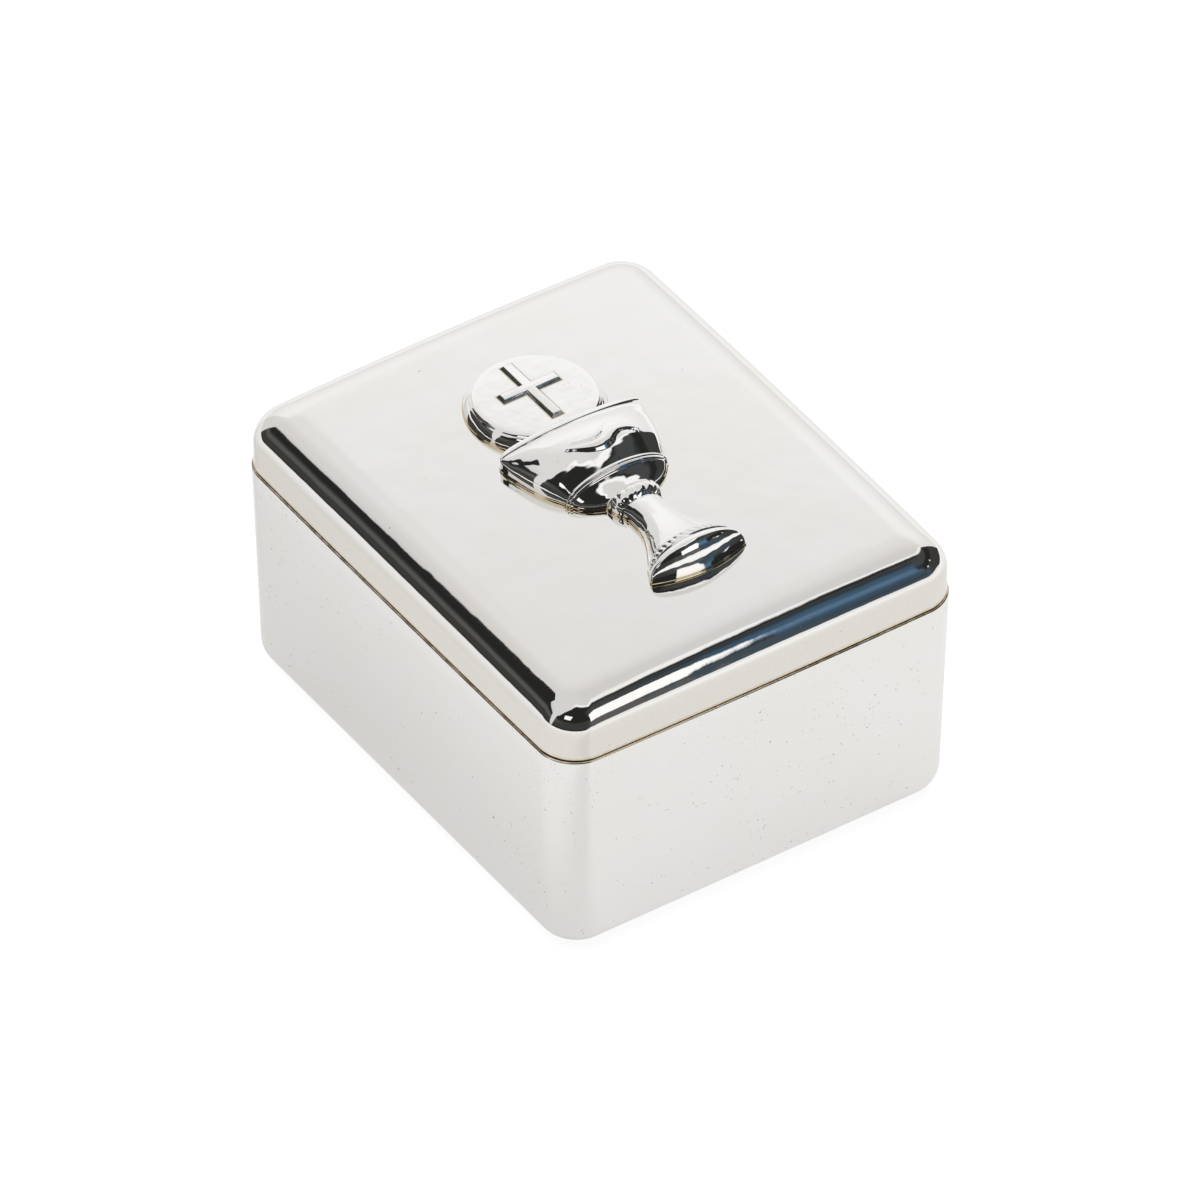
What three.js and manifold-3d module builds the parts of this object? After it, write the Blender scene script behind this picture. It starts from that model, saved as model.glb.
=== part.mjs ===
// Communion keepsake box: plated die-cast base and hinged lid, a chalice and host casting on the lid,
// velvet lining inside and a felt pad underneath. Millimetres, +Z up, front face towards -Y, hinge at +Y.
// The origin is the middle of the underside of the felt pad.
import * as THREE from 'three';
import { mergeVertices } from 'three/addons/utils/BufferGeometryUtils.js';
import Module from 'manifold-3d';

const wasm = await Module();
wasm.setup();

// ---- driving dimensions ----
const W = 65.6;            // width over the base rim, left to right
const D = 80.0;            // depth over the base rim, front to back
const H = 44.96;           // height of the lid's middle above the floor
const CORNER = 5.72;       // radius of the vertical corners
const BOW_X = 0.2;         // how far the side walls bulge at mid-length
const BOW_Y = 0.3;         // how far the front and back walls bulge at mid-length
const BASE_BOTTOM = 0.4;   // metal underside above the floor
const RIM = 34.91;         // height of the base rim
const DRAFT = 0.77;        // how far each wall comes in from rim to bottom
const FOOT_R = 3.62;       // rounding of the base's lower edge
const BASE_WALL = 2.0;
const FLOOR_TOP = 2.8;     // inner floor of the base casting
const LID_EDGE = 35.31;    // lower edge of the lid
const LID_STEP = 0.2;      // the lid is this much smaller than the rim on each side
const LID_RH = 6.43;       // lid edge rounding, horizontally
const LID_RV = 6.24;       // lid edge rounding, vertically
const LID_TOP_CORNER = 1.6;
const CROWN = 1.2;         // fall of the lid's top from its middle to its corners
const LID_WALL = 1.8;
const RECESS = { w: 55.0, d: 69.4, r: 3.4, top: 1.3 };     // underside recess for the felt
const FELT = { w: 54.2, d: 68.6, r: 3.0, t: 0.98 };

// hinge
const AXIS_Y = 38.5, AXIS_Z = 35.11;
const PIN_R = 0.6, BORE_R = 0.78, KNUCKLE_R = 1.3, NOTCH_R = 1.55;
const HINGE_HALF = 18.0, NOTCH_HALF = 18.45, KNUCKLES = 5, KNUCKLE_GAP = 0.3;
const LEAF_T = 0.5, LEAF_REACH = 5.0, LEAF_Y = AXIS_Y - KNUCKLE_R;   // inner face of both leaves
const BEVEL_DEG = 50;      // each rear edge's bevel: the two meet with the lid 100 degrees open
const SCREW_X = [-12, 0, 12], SCREW_FROM_AXIS = 3.1;
const SCREW = { head: 1.15, shank: 0.6, cone: 0.55, length: 1.75 };

// lining
const BAND = { x: 29.75, front: -36.95, back: 36.85, r: 3.6 };       // outside of the card band
const CARD_T = 0.8, VELVET_T = 0.9, SKIN_GAP = 0.2;
const BAND_BOTTOM = 3.1, CARD_TOP = 35.9, VELVET_TOP = 36.9;
const INSET = CARD_T + SKIN_GAP + VELVET_T;

// emblem
const EMBLEM_Z = H + 0.2;
const STUD_R = 1.0, STUD_HOLE_R = 1.35;
const STUDS = [[0, 13.5], [0, -15.6]];
const HOST = { x: 0, y: 15.5, r: 9.9, t: 2.4, edge: 0.8 };

// ---- helpers ----
// Rounded rectangle with slightly bowed sides, always with the same number of points.
const ARC = 8, SIDE = 3;
function outline(w, d, r, bx = 0, by = 0, cx = 0, cy = 0) {
  const pts = [];
  const signs = [[1, 1, 0], [-1, 1, 90], [-1, -1, 180], [1, -1, 270]];
  for (let k = 0; k < 4; k++) {
    const [sx, sy, a0] = signs[k];
    for (let i = 0; i < ARC; i++) {
      const a = ((a0 + (90 * i) / (ARC - 1)) * Math.PI) / 180;
      pts.push([sx * (w / 2 - r) + r * Math.cos(a), sy * (d / 2 - r) + r * Math.sin(a)]);
    }
    const p = pts[pts.length - 1];
    const [nx, ny] = signs[(k + 1) % 4];
    const a1 = (((a0 + 90) % 360) * Math.PI) / 180;
    const q = [nx * (w / 2 - r) + r * Math.cos(a1), ny * (d / 2 - r) + r * Math.sin(a1)];
    for (let i = 1; i <= SIDE; i++) {
      const s = i / (SIDE + 1);
      pts.push([p[0] + (q[0] - p[0]) * s, p[1] + (q[1] - p[1]) * s]);
    }
  }
  const clip = (v) => Math.min(1, Math.max(0, v));
  return pts.map(([x, y]) => {
    const ox = Math.sign(x) * bx * clip(1 - (2 * y / d) ** 2) * clip((Math.abs(x) - (w / 2 - r)) / r);
    const oy = Math.sign(y) * by * clip(1 - (2 * x / w) ** 2) * clip((Math.abs(y) - (d / 2 - r)) / r);
    return [x + ox + cx, y + oy + cy];
  });
}
const at = (pts, z) => pts.map(([x, y]) => [x, y, typeof z === 'function' ? z(x, y) : z]);

// Closed skin through rings of equal size. start and end are points that close the two ends,
// or closed: true joins the last ring to the first.
function loft(rings, { start = null, end = null, closed = false } = {}) {
  const n = rings[0].length, pos = [], idx = [];
  for (const r of rings) for (const p of r) pos.push(...p);
  const count = closed ? rings.length : rings.length - 1;
  for (let k = 0; k < count; k++) {
    const a = k * n, b = ((k + 1) % rings.length) * n;
    for (let i = 0; i < n; i++) {
      const j = (i + 1) % n;
      idx.push(a + i, a + j, b + j, a + i, b + j, b + i);
    }
  }
  if (start) {
    const s = pos.length / 3; pos.push(...start);
    for (let i = 0; i < n; i++) idx.push(s, (i + 1) % n, i);
  }
  if (end) {
    const e = pos.length / 3, b = (rings.length - 1) * n; pos.push(...end);
    for (let i = 0; i < n; i++) idx.push(e, b + i, b + ((i + 1) % n));
  }
  const g = new THREE.BufferGeometry();
  g.setAttribute('position', new THREE.Float32BufferAttribute(pos, 3));
  g.setIndex(idx);
  return outward(g);
}
function volume(g) {
  const p = g.attributes.position, ix = g.index, a = new THREE.Vector3(), b = new THREE.Vector3(), c = new THREE.Vector3();
  let v = 0;
  for (let i = 0; i < ix.count; i += 3) {
    a.fromBufferAttribute(p, ix.getX(i)); b.fromBufferAttribute(p, ix.getX(i + 1)); c.fromBufferAttribute(p, ix.getX(i + 2));
    v += a.dot(b.cross(c)) / 6;
  }
  return v;
}
function outward(g) {
  if (volume(g) < 0) {
    const ix = g.index;
    for (let i = 0; i < ix.count; i += 3) { const t = ix.getX(i); ix.setX(i, ix.getX(i + 1)); ix.setX(i + 1, t); }
  }
  return g;
}
function solid(g) {
  const c = g.clone();
  for (const name of Object.keys(c.attributes)) if (name !== 'position') c.deleteAttribute(name);
  const m = outward(mergeVertices(c, 1e-4));
  return new wasm.Manifold(new wasm.Mesh({
    numProp: 3,
    vertProperties: new Float32Array(m.attributes.position.array),
    triVerts: new Uint32Array(m.index.array),
  }));
}
function geometry(man) {
  const m = man.getMesh();
  const g = new THREE.BufferGeometry();
  g.setAttribute('position', new THREE.Float32BufferAttribute(new Float32Array(m.vertProperties), 3));
  g.setIndex(Array.from(m.triVerts));
  return g;
}
const box = (x0, x1, y0, y1, z0, z1) => {
  const g = new THREE.BoxGeometry(x1 - x0, y1 - y0, z1 - z0);
  g.translate((x0 + x1) / 2, (y0 + y1) / 2, (z0 + z1) / 2);
  return g;
};
// cylinder along X through (y, z)
const rodX = (r, x0, x1, y, z, n = 20) => {
  const g = new THREE.CylinderGeometry(r, r, x1 - x0, n, 1);
  g.rotateZ(Math.PI / 2); g.translate((x0 + x1) / 2, y, z);
  return g;
};
// turned shape with its axis along +Y: profile of [radius, y], closed on the axis
const turnedY = (profile, x, y, z, n = 16) => {
  const g = new THREE.LatheGeometry(profile.map(([r, h]) => new THREE.Vector2(r, h)), n);
  g.translate(x, y, z);
  return g;
};
// turned shape with its axis along +Z: profile of [radius, z], closed on the axis
const turnedZ = (profile, x, y, z, n = 16) => {
  const g = new THREE.LatheGeometry(profile.map(([r, h]) => new THREE.Vector2(r, h)), n);
  g.rotateX(Math.PI / 2); g.translate(x, y, z);
  return g;
};

const box_group = new THREE.Group();
const lid_group = new THREE.Group();
box_group.add(lid_group);
const metal = (color, roughness) => new THREE.MeshStandardMaterial({ color, roughness, metalness: 1 });
const soft = (color) => new THREE.MeshStandardMaterial({ color, roughness: 0.95, metalness: 0 });
function piece(name, g, material, group = box_group) {
  const m = new THREE.Mesh(g, material);
  m.name = name;
  group.add(m);
}

// ---- base casting ----
const rimHeight = RIM - BASE_BOTTOM;
const draftAt = (z) => (DRAFT * (RIM - z)) / rimHeight;
const bowAt = (z) => (z - BASE_BOTTOM) / rimHeight;
const baseRing = (z, inset, r, bow = 1) => at(outline(W - 2 * (inset + draftAt(z)), D - 2 * (inset + draftAt(z)), r, BOW_X * bowAt(z) * bow, BOW_Y * bowAt(z) * bow), z);
const baseRings = [
  at(outline(RECESS.w, RECESS.d, RECESS.r), RECESS.top),
  at(outline(RECESS.w, RECESS.d, RECESS.r), BASE_BOTTOM),
];
for (let i = 0; i <= 5; i++) {
  const t = (Math.PI / 2) * (1 - i / 5);
  const z = BASE_BOTTOM + FOOT_R * (1 - Math.sin(t)), inset = FOOT_R * (1 - Math.cos(t));
  baseRings.push(baseRing(z, inset, Math.max(CORNER - inset, 0.6)));
}
baseRings.push(baseRing(14, 0, CORNER), baseRing(24, 0, CORNER), baseRing(RIM - 0.25, 0, CORNER), baseRing(RIM, 0.25, CORNER - 0.25));
baseRings.push(baseRing(RIM, BASE_WALL - 0.25, CORNER - BASE_WALL + 0.25, 0), baseRing(RIM - 0.25, BASE_WALL, CORNER - BASE_WALL, 0));
baseRings.push(baseRing(18, BASE_WALL, CORNER - BASE_WALL, 0), baseRing(FLOOR_TOP, BASE_WALL, CORNER - BASE_WALL, 0));
let base = solid(loft(baseRings, { start: [0, 0, RECESS.top], end: [0, 0, FLOOR_TOP] }));

// ---- lid casting ----
const lidBow = (inset, wall = 0) => (wall ? 0 : 1 - inset / 20);      // the inside is flat
const sag = (x, y, w = W, d = D) => (CROWN * ((2 * x / w) ** 2 + (2 * y / d) ** 2)) / 2;
function lidRing(t, wall) {
  const rh = LID_RH - wall, rv = LID_RV - wall, top = H - wall;
  const inset = LID_STEP + wall + rh * (1 - Math.cos(t));
  const r0 = CORNER - wall, r = r0 + (LID_TOP_CORNER - r0) * (1 - Math.cos(t)) ;
  const pts = outline(W - 2 * inset, D - 2 * inset, Math.max(r, 0.8), BOW_X * lidBow(inset, wall), BOW_Y * lidBow(inset, wall));
  return at(pts, (x, y) => top - rv + rv * Math.sin(t) - sag(x, y) * Math.sin(t));
}
const plateau = (ring, s, top) => ring.map(([x, y]) => [x * s, y * s, top - sag(x * s, y * s)]);
const lidRings = [];
const outerTop = lidRing(Math.PI / 2, 0), innerTop = lidRing(Math.PI / 2, LID_WALL);
lidRings.push(plateau(outerTop, 0.45, H), plateau(outerTop, 0.75, H));
for (let i = 0; i <= 7; i++) lidRings.push(lidRing((Math.PI / 2) * (1 - i / 7), 0));
const wallRing = (z, inset) => at(outline(W - 2 * (LID_STEP + inset), D - 2 * (LID_STEP + inset), CORNER - inset, BOW_X * lidBow(inset, inset > 1), BOW_Y * lidBow(inset, inset > 1)), z);
lidRings.push(wallRing(LID_EDGE + 0.3, 0), wallRing(LID_EDGE, 0.3), wallRing(LID_EDGE, LID_WALL - 0.2), wallRing(LID_EDGE + 0.2, LID_WALL));
for (let i = 0; i <= 5; i++) lidRings.push(lidRing((Math.PI / 2) * (i / 5), LID_WALL));
lidRings.push(plateau(innerTop, 0.7, H - LID_WALL));
let lid = solid(loft(lidRings, { start: [0, 0, H], end: [0, 0, H - LID_WALL] }));

// ---- rear edges: bevels, hinge notch, leaf seats and screw holes ----
const rise = Math.tan((BEVEL_DEG * Math.PI) / 180) * 6;
const wedge = (z, s) => {
  const shape = new THREE.Shape([[AXIS_Y, z - s * 0.6], [AXIS_Y + 6, z - s * 0.6], [AXIS_Y + 6, z + s * rise], [AXIS_Y, z]].map(([a, b]) => new THREE.Vector2(a, b)));
  const g = new THREE.ExtrudeGeometry(shape, { depth: 80, bevelEnabled: false });
  g.applyMatrix4(new THREE.Matrix4().makeBasis(new THREE.Vector3(0, 1, 0), new THREE.Vector3(0, 0, 1), new THREE.Vector3(1, 0, 0)));
  g.translate(-40, 0, 0);
  return solid(g);
};
base = base.subtract(wedge(RIM, -1));
lid = lid.subtract(wedge(LID_EDGE, 1));
const notch = solid(rodX(NOTCH_R, -NOTCH_HALF, NOTCH_HALF, AXIS_Y, AXIS_Z, 32));
base = base.subtract(notch);
lid = lid.subtract(notch);
const seatHalf = HINGE_HALF + 0.8, seatY = 38.12;
base = base.subtract(solid(box(-seatHalf, seatHalf, 36, seatY, AXIS_Z - LEAF_REACH - 0.5, AXIS_Z + 1)));
lid = lid.subtract(solid(box(-seatHalf, seatHalf, 36, seatY, AXIS_Z - 1, AXIS_Z + LEAF_REACH + 0.3)));
const screwZ = { base: AXIS_Z - SCREW_FROM_AXIS, lid: AXIS_Z + SCREW_FROM_AXIS };
const holeFor = (x, z, g, depth) => solid(turnedY([[0, -0.6], [SCREW.head + g, -0.6], [SCREW.head + g, 0], [SCREW.shank + g, SCREW.cone], [SCREW.shank + g, depth], [0, depth]], x, LEAF_Y, z, 20));
for (const x of SCREW_X) {
  base = base.subtract(holeFor(x, screwZ.base, 0.2, SCREW.length + 0.2));
  lid = lid.subtract(holeFor(x, screwZ.lid, 0.2, SCREW.length + 0.2));
}
// holes for the emblem's studs
for (const [x, y] of STUDS) {
  const g = new THREE.CylinderGeometry(STUD_HOLE_R, STUD_HOLE_R, 8, 20);
  g.rotateX(Math.PI / 2); g.translate(x, y, H - 1);
  lid = lid.subtract(solid(g));
}
piece('base_shell', geometry(base), metal(0xdedbd3, 0.08));
piece('lid_shell', geometry(lid), metal(0xe3e0d8, 0.05), lid_group);

// ---- hinge ----
const pitch = (2 * HINGE_HALF) / KNUCKLES;
const spans = Array.from({ length: KNUCKLES }, (_, i) => [
  -HINGE_HALF + i * pitch + (i ? KNUCKLE_GAP / 2 : 0),
  -HINGE_HALF + (i + 1) * pitch - (i < KNUCKLES - 1 ? KNUCKLE_GAP / 2 : 0)]);
function leaf(s, mine) {
  const z0 = AXIS_Z, z1 = AXIS_Z + s * LEAF_REACH;
  let m = solid(box(-HINGE_HALF, HINGE_HALF, LEAF_Y, LEAF_Y + LEAF_T, Math.min(z0, z1), Math.max(z0, z1)));
  spans.forEach(([a, b], i) => { if (i % 2 === mine) m = m.add(solid(rodX(KNUCKLE_R, a, b, AXIS_Y, AXIS_Z, 24))); });
  spans.forEach(([a, b], i) => {
    if (i % 2 !== mine) m = m.subtract(solid(box(a - KNUCKLE_GAP, b + KNUCKLE_GAP, 36, 41, AXIS_Z - 1.6, AXIS_Z + 1.6)));
  });
  m = m.subtract(solid(rodX(BORE_R, -HINGE_HALF - 1, HINGE_HALF + 1, AXIS_Y, AXIS_Z, 20)));
  for (const x of SCREW_X) m = m.subtract(holeFor(x, AXIS_Z + s * SCREW_FROM_AXIS, 0.2, 3));
  return geometry(m);
}
const steel = () => metal(0xc9c6bd, 0.22);
piece('hinge_base_leaf', leaf(-1, 0), steel());
piece('hinge_lid_leaf', leaf(1, 1), steel(), lid_group);
piece('hinge_pin', rodX(PIN_R, -HINGE_HALF, HINGE_HALF, AXIS_Y, AXIS_Z, 20), metal(0xb9b6ae, 0.25));
const screwBody = () => {
  const body = solid(turnedY([[0, 0], [SCREW.head, 0], [SCREW.shank, SCREW.cone], [SCREW.shank, SCREW.length], [0, SCREW.length]], 0, 0, 0, 20));
  return geometry(body.subtract(solid(box(-0.14, 0.14, -0.5, 0.28, -2, 2))));
};
['left', 'mid', 'right'].forEach((side, i) => {
  for (const [which, group] of [['base', box_group], ['lid', lid_group]]) {
    const mesh = new THREE.Mesh(screwBody(), metal(0xc4bfae, 0.25));
    mesh.name = `${which}_leaf_screw_${side}`;
    mesh.position.set(SCREW_X[i], LEAF_Y, screwZ[which]);
    group.add(mesh);
  }
});

// ---- felt under the base ----
piece('base_felt', loft([at(outline(FELT.w, FELT.d, FELT.r), 0), at(outline(FELT.w, FELT.d, FELT.r), FELT.t)],
  { start: [0, 0, 0], end: [0, 0, FELT.t] }), soft(0x2a2a2e));

// ---- lining of the base ----
const bandRing = (inset, z) => at(outline(2 * (BAND.x - inset), BAND.back - BAND.front - 2 * inset, BAND.r - inset * 0.8, 0, 0, 0, (BAND.back + BAND.front) / 2), z);
piece('wall_card', loft([bandRing(0, BAND_BOTTOM), bandRing(0, CARD_TOP), bandRing(CARD_T, CARD_TOP), bandRing(CARD_T, BAND_BOTTOM)], { closed: true }), soft(0xb9b2a2));
piece('wall_velvet', loft([
  bandRing(CARD_T + SKIN_GAP, BAND_BOTTOM), bandRing(CARD_T + SKIN_GAP, CARD_TOP + SKIN_GAP), bandRing(0.05, CARD_TOP + SKIN_GAP),
  bandRing(0.05, VELVET_TOP - 0.35), bandRing(0.45, VELVET_TOP), bandRing(INSET - 0.45, VELVET_TOP), bandRing(INSET, VELVET_TOP - 0.45), bandRing(INSET, BAND_BOTTOM),
], { closed: true }), soft(0x1f2a4a));
const padRing = (gap, z) => bandRing(INSET + gap, z);
const midY = (BAND.back + BAND.front) / 2;
piece('floor_card', loft([padRing(0.3, 3.0), padRing(0.3, 3.7)], { start: [0, midY, 3.0], end: [0, midY, 3.7] }), soft(0xb9b2a2));
piece('floor_pad', loft([padRing(0.35, 3.9), padRing(0.3, 4.6), padRing(0.5, 5.6), padRing(1.6, 6.2)],
  { start: [0, midY, 3.9], end: [0, midY, 6.4] }), soft(0x1f2a4a));

// ---- lining of the lid ----
const LID_CARD = { w: 56.0, d: 70.0, r: 3.0 };
const cardRing = (inset, z) => at(outline(LID_CARD.w - 2 * inset, LID_CARD.d - 2 * inset, LID_CARD.r), z);
piece('lid_card', loft([cardRing(0, 41.4), cardRing(0, 42.0)], { start: [0, 0, 41.4], end: [0, 0, 42.0] }), soft(0xb9b2a2), lid_group);
piece('lid_pad', loft([cardRing(1.2, 39.75), cardRing(0.1, 40.3), cardRing(0.0, 40.8), cardRing(0.1, 41.2)],
  { start: [0, 0, 39.6], end: [0, 0, 41.2] }), soft(0x1f2a4a), lid_group);

// ---- emblem: host disc and chalice in one casting with two studs ----
// Cross-sections of the chalice from its rim down to its foot: [y, half-width, side height, middle height].
const STATIONS = [
  [8.3, 10.3, 1.75, 2.6], [8.0, 11.05, 2.0, 3.05], [7.12, 11.5, 2.0, 3.2], [6.5, 11.4, 1.6, 3.4], [4.1, 11.1, 1.2, 5.1], [2.4, 10.75, 1.1, 5.7], [0.7, 10.35, 0.95, 5.95],
  [-2.0, 9.28, 0.7, 5.25], [-4.05, 8.18, 0.62, 3.85], [-4.35, 8.22, 0.68, 4.1], [-5.1, 7.72, 0.6, 3.38], [-6.7, 6.15, 0.55, 2.32], [-7.65, 4.3, 0.55, 1.95], [-8.2, 3.88, 0.9, 3.2],
  [-8.9, 3.82, 0.95, 3.45], [-10.4, 3.02, 0.62, 2.45], [-13.5, 2.9, 0.6, 2.75], [-17.4, 4.05, 0.62, 3.25], [-21.15, 6.3, 0.72, 4.22],
  [-21.85, 6.83, 0.9, 4.64], [-22.5, 7.08, 0.8, 4.36], [-23.15, 7.46, 1.05, 4.72], [-23.8, 7.56, 0.98, 4.62],
];
const SPAN = 12;
const section = (y, a, hs, hc) => {
  const pts = [[-a, y, 0], [-a, y, hs * 0.6]];
  for (let i = 0; i <= SPAN; i++) {
    const f = Math.PI * (1 - i / SPAN);
    pts.push([a * Math.cos(f) * 0.985, y, hs + (hc - hs) * Math.sin(f)]);
  }
  pts.push([a, y, hs * 0.6], [a, y, 0]);
  return pts;
};
const chaliceRings = STATIONS.map((s) => section(...s));
// the foot's front rounds over, stands almost upright and bows forward
for (const [f, drop, hf] of [[0.45, 0.995, 0.86], [0.85, 0.99, 0.5], [1.0, 0.985, 0.08]]) {
  const [y, a, hs, hc] = STATIONS[STATIONS.length - 1];
  chaliceRings.push(section(y, a * drop, hs * hf, hc * hf).map(([x, yy, z]) => [x, yy - 1.65 * f * Math.sqrt(Math.max(0, 1 - (x / (a * 1.02)) ** 2)) - 0.12 * f, z]));
}
const first = chaliceRings[0], last = chaliceRings[chaliceRings.length - 1];
const mean = (ring) => { const s = [0, 0, 0]; ring.forEach((p) => p.forEach((v, i) => { s[i] += v / ring.length; })); return s; };
let emblem = solid(loft(chaliceRings, { start: mean(first), end: mean(last) }));
const e = HOST.edge;
emblem = emblem.add(solid(turnedZ([[0, 0], [HOST.r, 0], [HOST.r, HOST.t - e], [HOST.r - 0.24, HOST.t - e * 0.3], [HOST.r - e, HOST.t], [0, HOST.t]], HOST.x, HOST.y, 0, 48)));
// plain cross on the host
for (const [x0, x1, y0, y1] of [[-0.85, 0.85, 10.0, 22.6], [-4.6, 4.6, 16.15, 17.85]]) emblem = emblem.add(solid(box(x0, x1, y0, y1, HOST.t - 0.5, HOST.t + 0.5)));
for (const [x, y] of STUDS) {
  const g = new THREE.CylinderGeometry(STUD_R, STUD_R, 4.4, 16);
  g.rotateX(Math.PI / 2); g.translate(x, y, -0.65);
  emblem = emblem.add(solid(g));
}
const emblemGeometry = geometry(emblem);
const emblemMesh = new THREE.Mesh(emblemGeometry, metal(0xe0ddd2, 0.08));
emblemMesh.name = 'emblem_casting';
emblemMesh.position.set(0, 0, EMBLEM_Z);
lid_group.add(emblemMesh);

// push-on washers on the studs, inside the lid
['upper', 'lower'].forEach((side, i) => {
  const [x, y] = STUDS[i];
  const z = H - LID_WALL - sag(x, y) - 0.6;
  const g = turnedZ([[STUD_R + 0.12, 0], [2.6, 0], [2.6, 0.28], [STUD_R + 0.12, 0.28], [STUD_R + 0.12, 0]], x, y, z, 24);
  piece(`emblem_washer_${side}`, g, metal(0x9a978f, 0.35), lid_group);
});

export default box_group;
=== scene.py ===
import math
import random
import bpy
import numpy as np
from mathutils import Matrix, Vector


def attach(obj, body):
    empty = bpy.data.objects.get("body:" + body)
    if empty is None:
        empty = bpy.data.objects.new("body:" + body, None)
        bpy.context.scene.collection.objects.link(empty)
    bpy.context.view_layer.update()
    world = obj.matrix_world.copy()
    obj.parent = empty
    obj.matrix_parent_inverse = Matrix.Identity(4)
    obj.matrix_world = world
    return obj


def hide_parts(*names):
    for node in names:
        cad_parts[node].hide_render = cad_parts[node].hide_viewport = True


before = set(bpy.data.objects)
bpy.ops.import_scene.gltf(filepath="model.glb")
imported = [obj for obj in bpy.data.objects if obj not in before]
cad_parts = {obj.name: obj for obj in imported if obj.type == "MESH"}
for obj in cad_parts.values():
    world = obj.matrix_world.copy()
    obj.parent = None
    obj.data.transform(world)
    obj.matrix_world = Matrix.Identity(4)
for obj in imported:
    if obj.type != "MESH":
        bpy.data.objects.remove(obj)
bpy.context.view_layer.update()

random.seed(7)
scene = bpy.context.scene
scene.view_settings.view_transform = "Standard"
scene.view_settings.look = "None"

# ---------------------------------------------------------------- dimensions, millimetres
W, D, H = 65.6, 80.0, 44.96
CORNER, BOW_X, BOW_Y = 5.72, 0.2, 0.3
BASE_BOTTOM, RIM, DRAFT, FOOT_R, BASE_WALL, FLOOR_TOP = 0.4, 34.91, 0.77, 3.62, 2.0, 2.8
LID_EDGE, LID_STEP, LID_RH, LID_RV, LID_TOP_CORNER, CROWN, LID_WALL = 35.31, 0.2, 6.43, 6.24, 1.6, 1.2, 1.8
RECESS = (55.0, 69.4, 3.4, 1.3)
AXIS_Y, AXIS_Z = 38.5, 35.11
NOTCH_R, NOTCH_HALF, HINGE_HALF = 1.55, 18.45, 18.0
LEAF_T, LEAF_REACH, KNUCKLE_R, PIN_R = 0.5, 5.0, 1.3, 0.6
LEAF_Y = AXIS_Y - KNUCKLE_R
BEVEL = math.radians(50)
BAND_X, BAND_FRONT, BAND_BACK, BAND_R = 29.75, -36.95, 36.85, 3.6
CARD_T, VELVET_T, SKIN_GAP = 0.8, 0.9, 0.2
BAND_BOTTOM, CARD_TOP, VELVET_TOP = 3.1, 35.9, 36.9
INSET = CARD_T + SKIN_GAP + VELVET_T
MID_Y = (BAND_FRONT + BAND_BACK) / 2
CROSS = (17.0, 5.6, 7.0, 0.85, 4.6)     # centre y, up, down, half-width, arm


def sag(x, y):
    return CROWN * ((2 * x / W) ** 2 + (2 * y / D) ** 2) / 2


# ---------------------------------------------------------------- mesh helpers (all in millimetres until placed)
def outline(w, d, r, bx=0.0, by=0.0, cx=0.0, cy=0.0, arc=20, side=22):
    pts = []
    signs = [(1, 1, 0), (-1, 1, 90), (-1, -1, 180), (1, -1, 270)]
    for k in range(4):
        sx, sy, a0 = signs[k]
        for i in range(arc + 1):
            a = math.radians(a0 + 90 * i / arc)
            pts.append((sx * (w / 2 - r) + r * math.cos(a), sy * (d / 2 - r) + r * math.sin(a)))
        p = pts[-1]
        nx, ny, _ = signs[(k + 1) % 4]
        a1 = math.radians((a0 + 90) % 360)
        q = (nx * (w / 2 - r) + r * math.cos(a1), ny * (d / 2 - r) + r * math.sin(a1))
        for i in range(1, side + 1):
            s = i / (side + 1)
            pts.append((p[0] + (q[0] - p[0]) * s, p[1] + (q[1] - p[1]) * s))
    o = np.array(pts)
    x, y = o[:, 0].copy(), o[:, 1].copy()
    o[:, 0] += np.sign(x) * bx * np.clip(1 - (2 * y / d) ** 2, 0, 1) * np.clip((abs(x) - (w / 2 - r)) / r, 0, 1)
    o[:, 1] += np.sign(y) * by * np.clip(1 - (2 * x / w) ** 2, 0, 1) * np.clip((abs(y) - (d / 2 - r)) / r, 0, 1)
    return o + np.array([cx, cy])


def at(o, z):
    zz = z(o[:, 0], o[:, 1]) if callable(z) else np.full(len(o), float(z))
    return np.c_[o, zz]


def loft(rings, start=None, end=None, closed=False):
    """Vertices and faces of a skin through rings of equal length."""
    n = len(rings[0])
    v = np.concatenate(rings)
    f = []
    count = len(rings) if closed else len(rings) - 1
    for k in range(count):
        a, b = k * n, ((k + 1) % len(rings)) * n
        for i in range(n):
            j = (i + 1) % n
            f.append((a + i, a + j, b + j, b + i))
    if start is not None:
        v = np.r_[v, [start]]
        s = len(v) - 1
        f += [(s, (i + 1) % n, i) for i in range(n)]
    if end is not None:
        v = np.r_[v, [end]]
        e, b = len(v) - 1, (len(rings) - 1) * n
        f += [(e, b + i, b + (i + 1) % n) for i in range(n)]
    return v, f


def signed_volume(v, f):
    total = 0.0
    for p in f:
        a = v[p[0]]
        for i in range(1, len(p) - 1):
            total += float(np.dot(a, np.cross(v[p[i]], v[p[i + 1]])))
    return total


def make(name, v, f, scale=1.0):
    """A mesh object from vertices and faces, with its faces turned outwards."""
    v = np.asarray(v, float)
    if signed_volume(v, f) < 0:
        f = [tuple(reversed(p)) for p in f]
    me = bpy.data.meshes.new(name)
    me.from_pydata((v * scale).tolist(), [], [list(p) for p in f])
    me.update()
    ob = bpy.data.objects.new(name, me)
    scene.collection.objects.link(ob)
    return ob


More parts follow.
